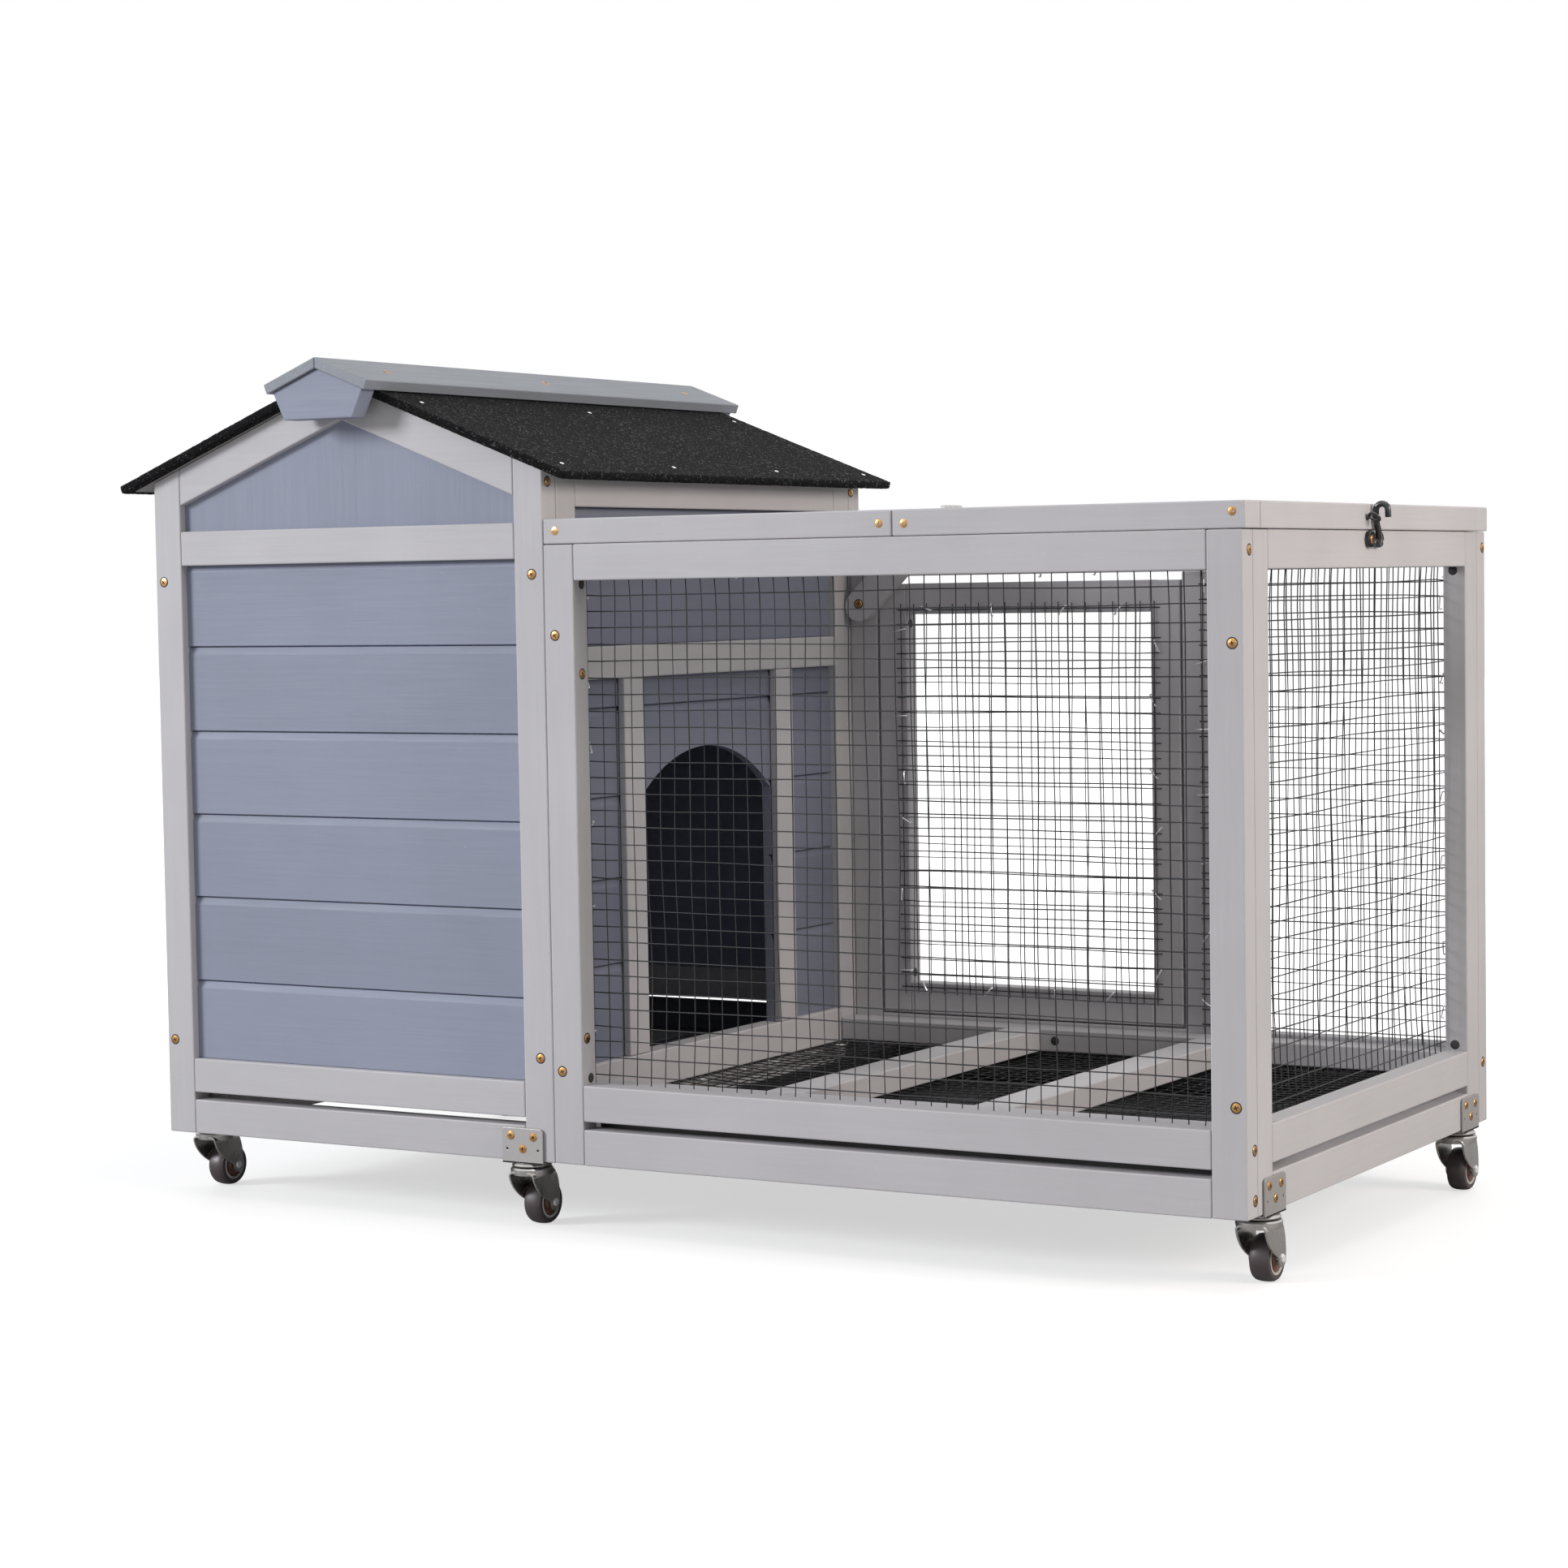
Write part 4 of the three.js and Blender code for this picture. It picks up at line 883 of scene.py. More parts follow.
def felted_half(side, name):
    """One roof half: felt over a board, with the board showing inside its rim below."""
    low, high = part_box(f"roof_{name}")
    thick = 8.5 * mm
    reach = (high.x - low.x - thick * math.sin(roof_pitch)) / math.cos(roof_pitch)
    tilt = Matrix.Rotation(side * roof_pitch, 4, "Y")
    ridge = Vector((ridge_x, 0, ridge_z + 0.3 * mm))
    place = Matrix.Translation(ridge) @ tilt
    ends = sorted((side * 0.3 * mm, side * reach))
    work = remeshed(cuboid((ends[0], low.y, 0.4 * mm), (ends[1], high.y, thick - 0.6 * mm)), FELT_VOXEL)
    work.normal_update()
    for vert in work.verts:
        spot = vert.co
        grit = noise.noise(spot * 420) * 0.6 + noise.noise(spot * 900) * 0.5
        swell = noise.noise(Vector((spot.x * 9, spot.y * 9, side)))
        from_ridge = min(abs(spot.x) / (12 * mm), 1.0)
        vert.co = spot + vert.normal * (GRIT * grit + SAG * 0.4 * swell) * from_ridge
    bmesh.ops.transform(work, matrix=place, verts=work.verts)
    finish_piece(f"roof_{name}_felt", work, [mineral_felt], "hutch", [f"roof_{name}"],
                 smooth=180)
    rim = 9 * mm
    board_ends = sorted((side * 14 * mm, side * (reach - rim)))
    board = cuboid((board_ends[0], low.y + rim, -0.05 * mm), (board_ends[1], high.y - rim, 2 * mm))
    round_edges(board, 0.4 * mm, 1)
    bmesh.ops.transform(board, matrix=place, verts=board.verts)
    finish_piece(f"roof_{name}_board", board, [roof_board], "hutch", [f"roof_{name}"])


felted_half(-1, "left")
felted_half(1, "right")

# %% [markdown]
# ### Ridge
# Two bevelled boards cover the joint at the top, and a five-sided block closes each end. All four
# have the same dark paint, which is more streaked than the paint of the walls.

# %% Ridge boards and blocks
CAP_THICKNESS = 8.5 * mm
CAP_RUN = 50 * mm
BLOCK = {"shoulder": 46 * mm, "foot": 35 * mm, "height": 41 * mm}


def ridge_board(side, name):
    low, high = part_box(f"ridge_cap_{name}")
    thick = CAP_THICKNESS
    top = high.z
    near = ridge_x + side * 0.15 * mm
    far = ridge_x + side * CAP_RUN
    upright = thick / math.cos(roof_pitch)
    drop = slope * CAP_RUN
    outline = [(near, top - upright), (far, top - upright - drop),
               (far + side * thick * math.sin(roof_pitch),
                top - upright - drop + thick * math.cos(roof_pitch)),
               (near, top)]
    shaped_timber(f"ridge_board_{name}", outline, "Y", (low.y, high.y), "Y", f"ridge_cap_{name}",
                  ridge_paint, 0.8 * mm)


def ridge_block(end):
    low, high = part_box(f"ridge_block_{end}")
    peak = high.z
    shoulder = peak - slope * BLOCK["shoulder"]
    foot = peak - BLOCK["height"]
    outline = [(ridge_x - BLOCK["foot"], foot), (ridge_x + BLOCK["foot"], foot),
               (ridge_x + BLOCK["shoulder"], shoulder), (ridge_x, peak),
               (ridge_x - BLOCK["shoulder"], shoulder)]
    shaped_timber(f"ridge_{end}_block", outline, "Y", (low.y, high.y), "X", f"ridge_block_{end}",
                  board_paint, 0.9 * mm)


for side, name in ((-1, "left"), (1, "right")):
    ridge_board(side, name)
for end in ("front", "rear"):
    ridge_block(end)
print("ridge closed")

# %% [markdown]
# ## Top of the run
# Two flat frames cover the run. The one by the house is fixed, and the one at the free end is a lid.
# Their long timbers run the whole length and the cross timbers sit between them.

# %% Top frames, floor frame, brace and turn button
def flat_frame(node, body="hutch"):
    low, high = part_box(node)
    prefix = node.removesuffix("_frame")
    for label, (a, b) in {"front": (low.y, low.y + STILE), "rear": (high.y - STILE, high.y)}.items():
        timber(f"{prefix}_{label}_timber", (low.x, a, low.z), (high.x, b, high.z), node, body)
    for label, (a, b) in {"inner": (low.x, low.x + STILE), "outer": (high.x - STILE, high.x)}.items():
        ends = (low.y + STILE, high.y - STILE)
        timber(f"{prefix}_{label}_timber", (a, ends[0], low.z), (b, ends[1], high.z), node, body)


flat_frame("top_panel_frame")
flat_frame("lid_frame", "lid")

FLOOR_BAR = 34 * mm
FIRST_BAR = 188 * mm
BAR_SPACING = 184 * mm
floor_low, floor_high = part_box("floor_frame")
for label, (a, b) in {"front": (floor_low.y, floor_low.y + STILE),
                      "rear": (floor_high.y - STILE, floor_high.y)}.items():
    timber(f"floor_{label}_timber", (floor_low.x, a, floor_low.z), (floor_high.x, b, floor_high.z),
           "floor_frame")
for index in range(2):
    middle = house_high.x + FIRST_BAR + index * BAR_SPACING
    low = (middle - FLOOR_BAR / 2, floor_low.y + STILE, floor_low.z)
    high = (middle + FLOOR_BAR / 2, floor_high.y - STILE, floor_high.z)
    timber(f"floor_bar_{index + 1}", low, high, "floor_frame")


def round_ended(first, second, radius, steps=12):
    """The outline of a flat bar with round ends between two points."""
    way = math.atan2(second[1] - first[1], second[0] - first[0])
    outline = []
    for centre, start in ((second, way - math.pi / 2), (first, way + math.pi / 2)):
        for step in range(steps + 1):
            angle = start + math.pi * step / steps
            outline.append((centre[0] + radius * math.cos(angle), centre[1] + radius * math.sin(angle)))
    return outline


brace_low, brace_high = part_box("corner_brace")
half = 14 * mm
brace = round_ended((brace_low.x + half, brace_low.z + half),
                    (brace_high.x - half, brace_high.z - half), half)
shaped_timber("corner_gusset", brace, "Y", (brace_low.y, brace_high.y), "Z", "corner_brace",
              frame_paint, 0.9 * mm)

button_low, button_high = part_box("door_button")
half = (button_high.x - button_low.x) / 2
button_x = (button_low.x + button_high.x) / 2
work = pushed(round_ended((button_x, button_low.z + half), (button_x, button_high.z - half), half),
              "Y", (button_low.y, button_high.y))
round_edges(work, 1.2 * mm)
finish_piece("turn_button", work, [frame_paint["Z"]], "door_button", ["door_button"])

# %% [markdown]
# ## Welded wire
# Each opening is closed with welded wire mesh. Every wire is a rod of its own. Real mesh is cut from
# a roll, so it ripples: one low wave moves the whole sheet, and each wire also wanders a little in
# its own plane. The wave dies away at the rim, where staples hold the sheet against the timber. The
# crossing wires lie on top of each other, not through each other, and their cut ends stick out
# unevenly.

# %% Wire sheets
CELL = 13.3 * mm
WIRE = 0.48 * mm
WIRE_PIECE = 21 * mm
RIPPLE = 3.2 * mm
WANDER = 2.4 * mm
PINNED_RIM = 34 * mm
RAGGED = 2.2 * mm


def wire_sheet(node, inwards, body="hutch", ripple=RIPPLE, seed=0):
    """Welded mesh in a CAD sheet's place. Inwards is the direction in which it may bulge."""
    low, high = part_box(node)
    thin = min(range(3), key=lambda axis: high[axis] - low[axis])
    flat = [axis for axis in range(3) if axis != thin]
    sign = 1 if inwards > 0 else -1
    contact = low[thin] if inwards > 0 else high[thin]
    work = bmesh.new()
    for layer, (along, across) in enumerate((flat, flat[::-1])):
        count = int((high[across] - low[across] - 4 * mm) / CELL)
        margin = (high[across] - low[across] - count * CELL) / 2
        length = high[along] - low[along] - RAGGED
        pieces = max(2, round(length / WIRE_PIECE))
        depth = contact + sign * WIRE * (1.05 + 1.9 * layer)
        for index in range(count + 1):
            place = low[across] + margin + index * CELL
            ends = (low[along] + chance.uniform(0, RAGGED) / 2,
                    high[along] - chance.uniform(0, RAGGED) / 2)
            reach = ends[1] - ends[0]
            spin = Vector((1, 0, 0)) if along == 0 else Vector((0, 1, 0)) if along == 1 else Vector((0,
                0, 1))
            middle = Vector((0, 0, 0))
            middle[along], middle[across], middle[thin] = sum(ends) / 2, place, depth
            matrix = Matrix.Translation(middle) @ spin.to_track_quat("Z", "Y").to_matrix().to_4x4()
            made = bmesh.ops.create_cone(work, cap_ends=True, segments=4, radius1=WIRE, radius2=WIRE,
                                         depth=reach, matrix=matrix)["verts"]
            sides = {e for v in made for e in v.link_edges
                     if abs((e.verts[0].co - e.verts[1].co)[along]) > reach / 2}
            bmesh.ops.subdivide_edges(work, edges=list(sides), cuts=pieces)
    for vert in work.verts:
        spot = vert.co.copy()
        rim = min(min(spot[axis] - low[axis], high[axis] - spot[axis]) for axis in flat)
        free = max(0.0, min(1.0, rim / PINNED_RIM))
        free = free * free * (3 - 2 * free)
        wave = noise.noise(Vector((spot[flat[0]] * 7, spot[flat[1]] * 7, seed))) + 0.45
        vert.co[thin] += sign * max(0.0, wave) * ripple * free
        for share, axis in enumerate(flat):
            other = flat[1 - share]
            drift = noise.noise(Vector((spot[axis] * 75, spot[other] * 6, seed + 5.3 + share)))
            vert.co[axis] += drift * WANDER * free
    name = node.replace("_mesh", "_wires")
    return finish_piece(name, work, [black_wire], body, [node], smooth=120)


for seed, (node, inwards, body) in enumerate([
    ("run_front_mesh", 1, "hutch"),
    ("run_end_mesh", -1, "hutch"),
    ("run_rear_mesh", -1, "hutch"),
    ("door_mesh", -1, "rear_door"),
    ("top_panel_mesh", -1, "hutch"),
    ("lid_mesh", -1, "lid"),
    ("floor_mesh", -1, "hutch"),
]):
    wires = wire_sheet(node, inwards, body, seed=seed)
    print(wires.name, len(wires.data.polygons), "faces")

# %% [markdown]
# ### Staples
# Fine wire staples hold the mesh to the timber. They are driven by hand, so they stand at all
# angles and never quite evenly spaced, and their bright crowns are the first thing to catch light.

# %% Staples
STAPLE_CROWN = 11 * mm
STAPLE_WIRE = 0.7 * mm


def staple():
    half = STAPLE_CROWN / 2
    points = [(-half, 0, -1.8 * mm), (-half, 0, 0.3 * mm), (-half * 0.9, 0, 0.8 * mm),
              (half * 0.9, 0, 0.8 * mm), (half, 0, 0.3 * mm), (half, 0, -1.8 * mm)]
    return template(bent_rod(points, STAPLE_WIRE, 5), "staple")


staple_pattern = staple()


def staple_row(work, start, end, normal, spacing=58 * mm, skip=0.0):
    """Staples between two points, at hand-driven angles."""
    start, end = Vector(start), Vector(end)
    count = max(2, round((end - start).length / spacing))
    for index in range(count):
        share = (index + 0.5 + chance.uniform(-0.22, 0.22)) / count
        if chance.random() < skip:
            continue
        point = start.lerp(end, share) + Vector([chance.uniform(-2.5, 2.5) * mm for _ in range(3)])
        for axis in range(3):
            if abs(normal[axis]) > 0.5:
                point[axis] = start[axis]
        add_copy(work, staple_pattern, facing(normal, point, chance.uniform(-math.pi, math.pi)))


def stapled_sheet(node, normal, body="hutch", inset=5.5 * mm, foot=True):
    """Rows of staples round a mesh sheet, just in from its rim. foot=False leaves out the lowest row."""
    low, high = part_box(node)
    thin = min(range(3), key=lambda axis: high[axis] - low[axis])
    first, second = [axis for axis in range(3) if axis != thin]
    surface = (high if normal[thin] > 0 else low)[thin] + normal[thin] * 1.6 * mm
    work = bmesh.new()
    corners = {}
    for a in (0, 1):
        for b in (0, 1):
            point = Vector((0, 0, 0))
            point[thin] = surface
            point[first] = (low[first] + inset, high[first] - inset)[a]
            point[second] = (low[second] + inset, high[second] - inset)[b]
            corners[a, b] = point
    if foot:
        staple_row(work, corners[0, 0], corners[1, 0], normal)
    staple_row(work, corners[0, 1], corners[1, 1], normal)
    staple_row(work, corners[0, 0], corners[0, 1], normal)
    staple_row(work, corners[1, 0], corners[1, 1], normal)
    return finish_piece(node.replace("_mesh", "_staples"), work, [zinc_with_painted_glint], body, (),
                        smooth=60)


stapled_sheet("door_mesh", (0, -1, 0), "rear_door")
stapled_sheet("run_rear_mesh", (0, -1, 0), foot=False)
stapled_sheet("run_front_mesh", (0, 1, 0), foot=False)
stapled_sheet("run_end_mesh", (-1, 0, 0), foot=False)
stapled_sheet("top_panel_mesh", (0, 0, -1))
stapled_sheet("lid_mesh", (0, 0, -1), "lid")
stapled_sheet("floor_mesh", (0, 0, -1))
print("staples driven")

# %% [markdown]
# ## Screws
# Two kinds hold the timbers: yellow-zinc cross-head screws in the faces, and dull black pocket-hole
# screws in the inner corners, whose dark discs also stand for their holes as painted shade. Each
# head sits in a slight countersink, painted as a dark ring of shade round it, and the floor of its
# cross is painted dark as shade too. The cross is cut with a boolean once, and the head is then
# copied at its own angle wherever a screw goes.

# %% Screw heads
HEAD = 3.6 * mm
SINK = 4.5 * mm


def screw_head():
    """A cross-head screw, its face towards +Z and flush with z = 0."""
    body = turned([(0, -1.6 * mm), (HEAD * 0.6, -1.6 * mm), (HEAD * 0.94, -0.3 * mm), (HEAD, 0.05 * mm),
                   (HEAD * 0.92, 0.35 * mm), (HEAD * 0.5, 0.62 * mm), (0, 0.7 * mm)], 20)
    for arm in (0, 1):
        size = (3.6 * mm, 0.8 * mm) if arm == 0 else (0.8 * mm, 3.6 * mm)
        slot = cuboid((-size[0] / 2, -size[1] / 2, -0.9 * mm), (size[0] / 2, size[1] / 2, 2 * mm))
        body = cut_out(body, slot)
    return template(body, "screw_head")


def screw_sink():
    """A dark ring round a head: painted shade of its countersink."""
    return template(turned([(HEAD * 0.9, 0.0), (HEAD * 1.02, 0.12 * mm), (SINK, 0.05 * mm),
                            (SINK * 1.02, -0.2 * mm)], 20), "sink")


def cross_floor():
    """A dark floor in the cross recess: painted shade."""
    work = cuboid((-1.75 * mm, -0.36 * mm, -0.5 * mm), (1.75 * mm, 0.36 * mm, 0.1 * mm))
    turned_bar = template(work, "bar")
    work = bmesh.new()
    for turn in (0, math.pi / 2):
        add_copy(work, turned_bar, Matrix.Rotation(turn, 4, "Z"))
    return template(work, "cross")


def pocket_head():
    """A dull dark disc for a screw in a pocket hole: partly the screw's own black, partly painted shade
    of the hole.
    """
    return template(turned([(0, 0.4 * mm), (3.1 * mm, 0.35 * mm), (4.0 * mm, 0.1 * mm),
                            (4.2 * mm, -0.5 * mm)], 18), "pocket")


head_pattern, sink_pattern, pocket_pattern = screw_head(), screw_sink(), pocket_head()
cross_pattern = cross_floor()


def hutch_point(x, y, z):
    """A point measured in millimetres from the house's front left corner, at floor level."""
    return Vector((house_low.x + x * mm, house_low.y + y * mm, z * mm))


def screws(name, spots, body="hutch", sunk=True):
    """Cross-head screws at (x, y, z) with a direction to face, and the painted shade of their recesses.
    """
    heads = bmesh.new()
    rings = bmesh.new()
    for place, normal in spots:
        point = hutch_point(*place)
        lean = (Vector(normal) + Vector([chance.uniform(-0.05, 0.05) for _ in range(3)])).normalized()
        place = facing(lean, point + Vector(normal) * 0.05 * mm, chance.uniform(0, math.tau))
        add_copy(heads, head_pattern, place)
        add_copy(rings, cross_pattern, place)
        if sunk:
            add_copy(rings, sink_pattern, facing(normal, point, 0))
    finish_piece(f"{name}_screws", heads, [brass], body, (), smooth=35)
    # The dark rings and cross floors are painted shade of the recesses.
    finish_piece(f"{name}_countersink_shade", rings, [dull_black], body, (), smooth=60)


FRONT, BACK, LEFT, RIGHT, UP = (0, -1, 0), (0, 1, 0), (-1, 0, 0), (1, 0, 0), (0, 0, 1)
house_spots = [((x, 0, z), FRONT) for x, z in ((8.6, 528), (7.9, 135), (388.8, 529), (388, 139.5))]
house_spots += [((x, 520, z), BACK) for x, z in ((9, 530), (8, 140), (391, 527), (390, 141))]
house_spots += [((0, y, z), LEFT) for y, z in ((9.5, 560), (9, 72), (9, 104), (511, 560), (510, 72),
                                               (511, 597))]
house_spots += [((400, y, z), RIGHT) for y, z in ((8, 603), (504.7, 601))]
screws("house", house_spots)
run_spots = [((x, 0, z), FRONT) for x, z in ((991.6, 471), (991.7, 137), (410, 480), (409, 130))]
run_spots += [((1000, y, z), RIGHT) for y, z in ((12.6, 537.5), (13.9, 104.6), (14.6, 67.8), (513.9,
    539), (510.2, 106))]
run_spots += [((428.3, y, z), RIGHT) for y, z in ((10.8, 449), (7.6, 157))]
run_spots += [((x, 520, z), BACK) for x, z in ((414, 505), (414, 140), (745, 505), (745, 140), (990,
    471), (991, 137))]
screws("run", run_spots)
screws("top_panel", [((411.5, 0.3, 563), FRONT), ((706, 0.3, 562.5), FRONT), ((412, 519.7, 563), BACK),
                     ((705, 519.7, 562), BACK)])
screws("lid", [((727, 0.3, 562), FRONT), ((992.5, 0.3, 565), FRONT), ((728, 519.7, 563), BACK), ((991,
    519.7, 562), BACK)], "lid")


# %% Pocket-hole screws
def pocket_screws_and_hole_shade(name, spots, body="hutch"):
    work = bmesh.new()
    for place, normal in spots:
        add_copy(work, pocket_pattern, facing(normal, hutch_point(*place)))
    # Each dark disc is partly the screw's own black and partly painted shade of its pocket hole.
    finish_piece(f"{name}_pocket_screws_and_hole_shade", work, [dull_black], body, (), smooth=60)


openings = {"front": (428.3, 972.0, 119.5, 523.5), "end": (47.8, 472.2, 119.5, 523.5)}
x0, x1, z0, z1 = openings["front"]
corner_spots = [((x, 12, z), (turn, 0, 0)) for x, turn in ((x0, 1), (x1, -1)) for z in (z0 + 5, z1 - 3)]
y0, y1, z0, z1 = openings["end"]
corner_spots += [((989, y, z), (0, turn, 0)) for y,
                 turn in ((y0, 1), (y1, -1)) for z in (z0 + 5, z1 - 3)]
corner_spots += [((x, 509, z), (turn, 0, 0)) for x, turn in ((428.3, 1), (972, -1)) for z in (107, 538)]
pocket_screws_and_hole_shade("run", corner_spots)
door_spots = [((x, 509, z), (turn, 0, 0)) for x, turn in ((458.3, 1), (702, -1)) for z in (159, 480)]
pocket_screws_and_hole_shade("door", door_spots, "rear_door")
floor_spots = [((x, 47.8, 108), (0, 1, 0)) for x in (560, 742)] + [((x, 472.2, 108),
    (0, -1, 0)) for x in (560, 618, 742, 800)]
pocket_screws_and_hole_shade("floor", floor_spots)
print("pocket screws set")

# %% [markdown]
# ### Small fixings on the roof
# The ridge boards are screwed down with small brass screws, and a few bright nails hold the felt.

# %% Roof fixings
def on_slope(x, y, peak):
    """A point on the roof's slope, and the way the slope faces."""
    side = 1 if x > 200 else -1
    normal = (side * math.sin(roof_pitch), 0, math.cos(roof_pitch))
    return (x, y, peak - slope * abs(x - 200)), normal


ROOF_PEAK = (ridge_z + 0.3 * mm) / mm + 8.5 / math.cos(roof_pitch)
CAP_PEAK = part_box("ridge_cap_right")[1].z / mm
screws("ridge", [on_slope(x, y, CAP_PEAK) for x in (228, 172) for y in (30, 262, 495)], sunk=False)
nail_pattern = template(turned([(0, 0.5 * mm), (1.5 * mm, 0.35 * mm), (2.1 * mm, -0.1 * mm),
                                (1.2 * mm, -0.8 * mm)], 12), "nail")
work = bmesh.new()
for x in (274, 126):
    for y in (14, 262, 508):
        place, normal = on_slope(x, y, ROOF_PEAK)
        add_copy(work, nail_pattern, facing(normal, hutch_point(*place)))
for x in (412, -12):
    for y in (12, 180, 350, 508):
        place, normal = on_slope(x, y, ROOF_PEAK)
        add_copy(work, nail_pattern, facing(normal, hutch_point(*place)))
finish_piece("felt_nails", work, [zinc_with_painted_glint], "hutch", (), smooth=50)
print("roof fixed")

# %% [markdown]
# ## Hinges
# Each hinge is two pressed leaves that share a pin: two knuckles on the fixed leaf and one between
# them on the moving leaf. Every leaf is held by two countersunk screws.

# %% Hinges
LEAF_THICKNESS = 1.3 * mm
KNUCKLE = 2.0 * mm


def hinge_leaf(node, body, fixed, normal):
    """One leaf, lying against the timber with its knuckles on the pin."""
    low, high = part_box(node)
    pin_axis = 1 if normal[2] else 2
    out = 2 if normal[2] else 1
    length = (low[pin_axis], high[pin_axis])
    pin_x = low.x + KNUCKLE if (high.x + low.x) / 2 > hinge_pin_x(node) else high.x - KNUCKLE
    far_x = high.x if pin_x < (low.x + high.x) / 2 else low.x
    foot = low[out]
    plate_low, plate_high = Vector(low), Vector(high)
    plate_low.x, plate_high.x = sorted((pin_x + (far_x - pin_x) * 0.06, far_x))
    plate_high[out] = foot + LEAF_THICKNESS
    work = cuboid(plate_low, plate_high)
    side_edges = [e for e in work.edges if all(abs(v.co.x - far_x) < 1e-6 for v in e.verts)
                  and abs(e.verts[0].co[out] - e.verts[1].co[out]) > 1e-6]
    bmesh.ops.bevel(work, geom=side_edges, offset=3 * mm, offset_type="OFFSET", segments=4, profile=0.5,
                    affect="EDGES", material=-1, clamp_overlap=True)
    third = (length[1] - length[0]) / 3
    for index in range(3):
        if (index == 1) == fixed:
            continue
        middle = Vector((pin_x, 0, 0))
        middle[out] = foot + KNUCKLE
        middle[pin_axis] = length[0] + third * (index + 0.5)
        turn = Matrix.Rotation(math.pi / 2, 4, "X") if pin_axis == 1 else Matrix.Identity(4)
        bmesh.ops.create_cone(work, cap_ends=True, segments=16, radius1=KNUCKLE, radius2=KNUCKLE,
                              depth=third - 0.3 * mm, matrix=Matrix.Translation(middle) @ turn)
    finish_piece(node + "_plate", work, [zinc], body, [node], smooth=40)
    spots = []
    for share in (0.22, 0.78):
        spot = Vector((pin_x + (far_x - pin_x) * 0.6, 0, 0))
        spot[pin_axis] = length[0] + (length[1] - length[0]) * share
        spot[out] = foot + LEAF_THICKNESS - 0.1 * mm
        spots.append(spot)
    heads = bmesh.new()
    for spot in spots:
        add_copy(heads, head_pattern, facing(normal, spot, chance.uniform(0,
            math.tau)) @ Matrix.Scale(0.75, 4))
    finish_piece(node + "_screws", heads, [brass], body, (), smooth=35)


def hinge_pin_x(node):
    """Where a hinge's pin stands along X: the middle of its two leaves."""
    name = node.replace("fixed", "moving")
    partner = name if name != node else node.replace("moving", "fixed")
    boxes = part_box(node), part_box(partner)
    return (min(b[0].x for b in boxes) + max(b[1].x for b in boxes)) / 2


for place, normal, body in (("lid_front", UP, "lid"), ("lid_rear", UP, "lid"),
                            ("door_lower", BACK, "rear_door"), ("door_upper", BACK, "rear_door")):
    hinge_leaf(f"{place}_hinge_fixed_leaf", "hutch", True, normal)
    hinge_leaf(f"{place}_hinge_moving_leaf", body, False, normal)
print("hinges hung")

# %% [markdown]
# ## Lid latch
# A black two-lobed saddle is screwed below the lid, and a thick wire hook swings on its pin. A
# black eye is screwed to the lid beside it. The saddle's lobes are turned cups, so the screw heads
# sit down inside them.

# %% Latch
saddle_low, saddle_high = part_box("latch_saddle")
latch_y = (saddle_low.y + saddle_high.y) / 2
latch_z = (saddle_low.z + saddle_high.z) / 2
lobe = (saddle_high.z - saddle_low.z) / 2
LOBE_REACH = 8.6 * mm
plate = round_ended((latch_y - LOBE_REACH, latch_z), (latch_y + LOBE_REACH, latch_z), lobe - 0.2 * mm)
work = pushed(plate, "X", (saddle_low.x, saddle_low.x + 2.2 * mm))
round_edges(work, 0.7 * mm, 2)
cup_pattern = template(turned([(0, 1.6 * mm), (3.6 * mm, 1.6 * mm), (4.6 * mm, 2.4 * mm),
                               (5.2 * mm, 4.0 * mm),
                               (5.8 * mm, 4.4 * mm), (6.3 * mm, 3.6 * mm), (6.5 * mm, 1.0 * mm),
                               (6.5 * mm, 0)], 28), "cup")
bump_pattern = template(turned([(0, 7.4 * mm), (1.8 * mm, 7.0 * mm), (2.9 * mm, 5.6 * mm),
                                (3.4 * mm, 3.5 * mm), (3.9 * mm, 0)], 20), "bump")
for y in (latch_y - LOBE_REACH, latch_y + LOBE_REACH):
    add_copy(work, cup_pattern, facing(RIGHT, (saddle_low.x, y, latch_z)))
add_copy(work, bump_pattern, facing(RIGHT, (saddle_low.x, latch_y, latch_z - 1.5 * mm)))
finish_piece("latch_cups", work, [gloss_black], "hutch", ["latch_saddle"], smooth=50)
saddle_x = (saddle_low.x - house_low.x) / mm + 3.5
saddle_screws = [((saddle_x, (y - house_low.y) / mm, latch_z / mm),
                  RIGHT) for y in (latch_y - LOBE_REACH, latch_y + LOBE_REACH)]
screws("latch", saddle_screws, sunk=False)


def arc(centre, radius, start, end, steps, across):
    """Points round an arc in the X-Z plane, start and end in degrees, moved along Y."""
    spots = []
    for step in range(steps + 1):
        angle = math.radians(start + (end - start) * step / steps)
        spots.append((centre[0] + radius * math.cos(angle), across,
                      centre[1] + radius * math.sin(angle)))
    return spots


hook_low, hook_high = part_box("latch_hook")
HOOK_WIRE = 2.5 * mm
pin = Vector((hook_low.x + 3.2 * mm, latch_y, latch_z))
bend = 4.9 * mm
hook_y = hook_low.y + HOOK_WIRE + 0.2 * mm
crest = hook_high.z - HOOK_WIRE - bend + 3.6 * mm
path = [pin + Vector((0, 0, -1.5 * mm)), pin + Vector((0, 0, 3 * mm)),
        pin + Vector((0, -1.2 * mm, 7 * mm)),
        pin + Vector((0, -4.2 * mm, 11 * mm)), (pin.x, hook_y, pin.z + 15.5 * mm)]
path += arc((pin.x + bend, crest), bend, 180, 0, 10, hook_y)
path += [(pin.x + 2 * bend, hook_y + 0.4 * mm, crest - 5.5 * mm)]
work = bent_rod(path, HOOK_WIRE, 12)
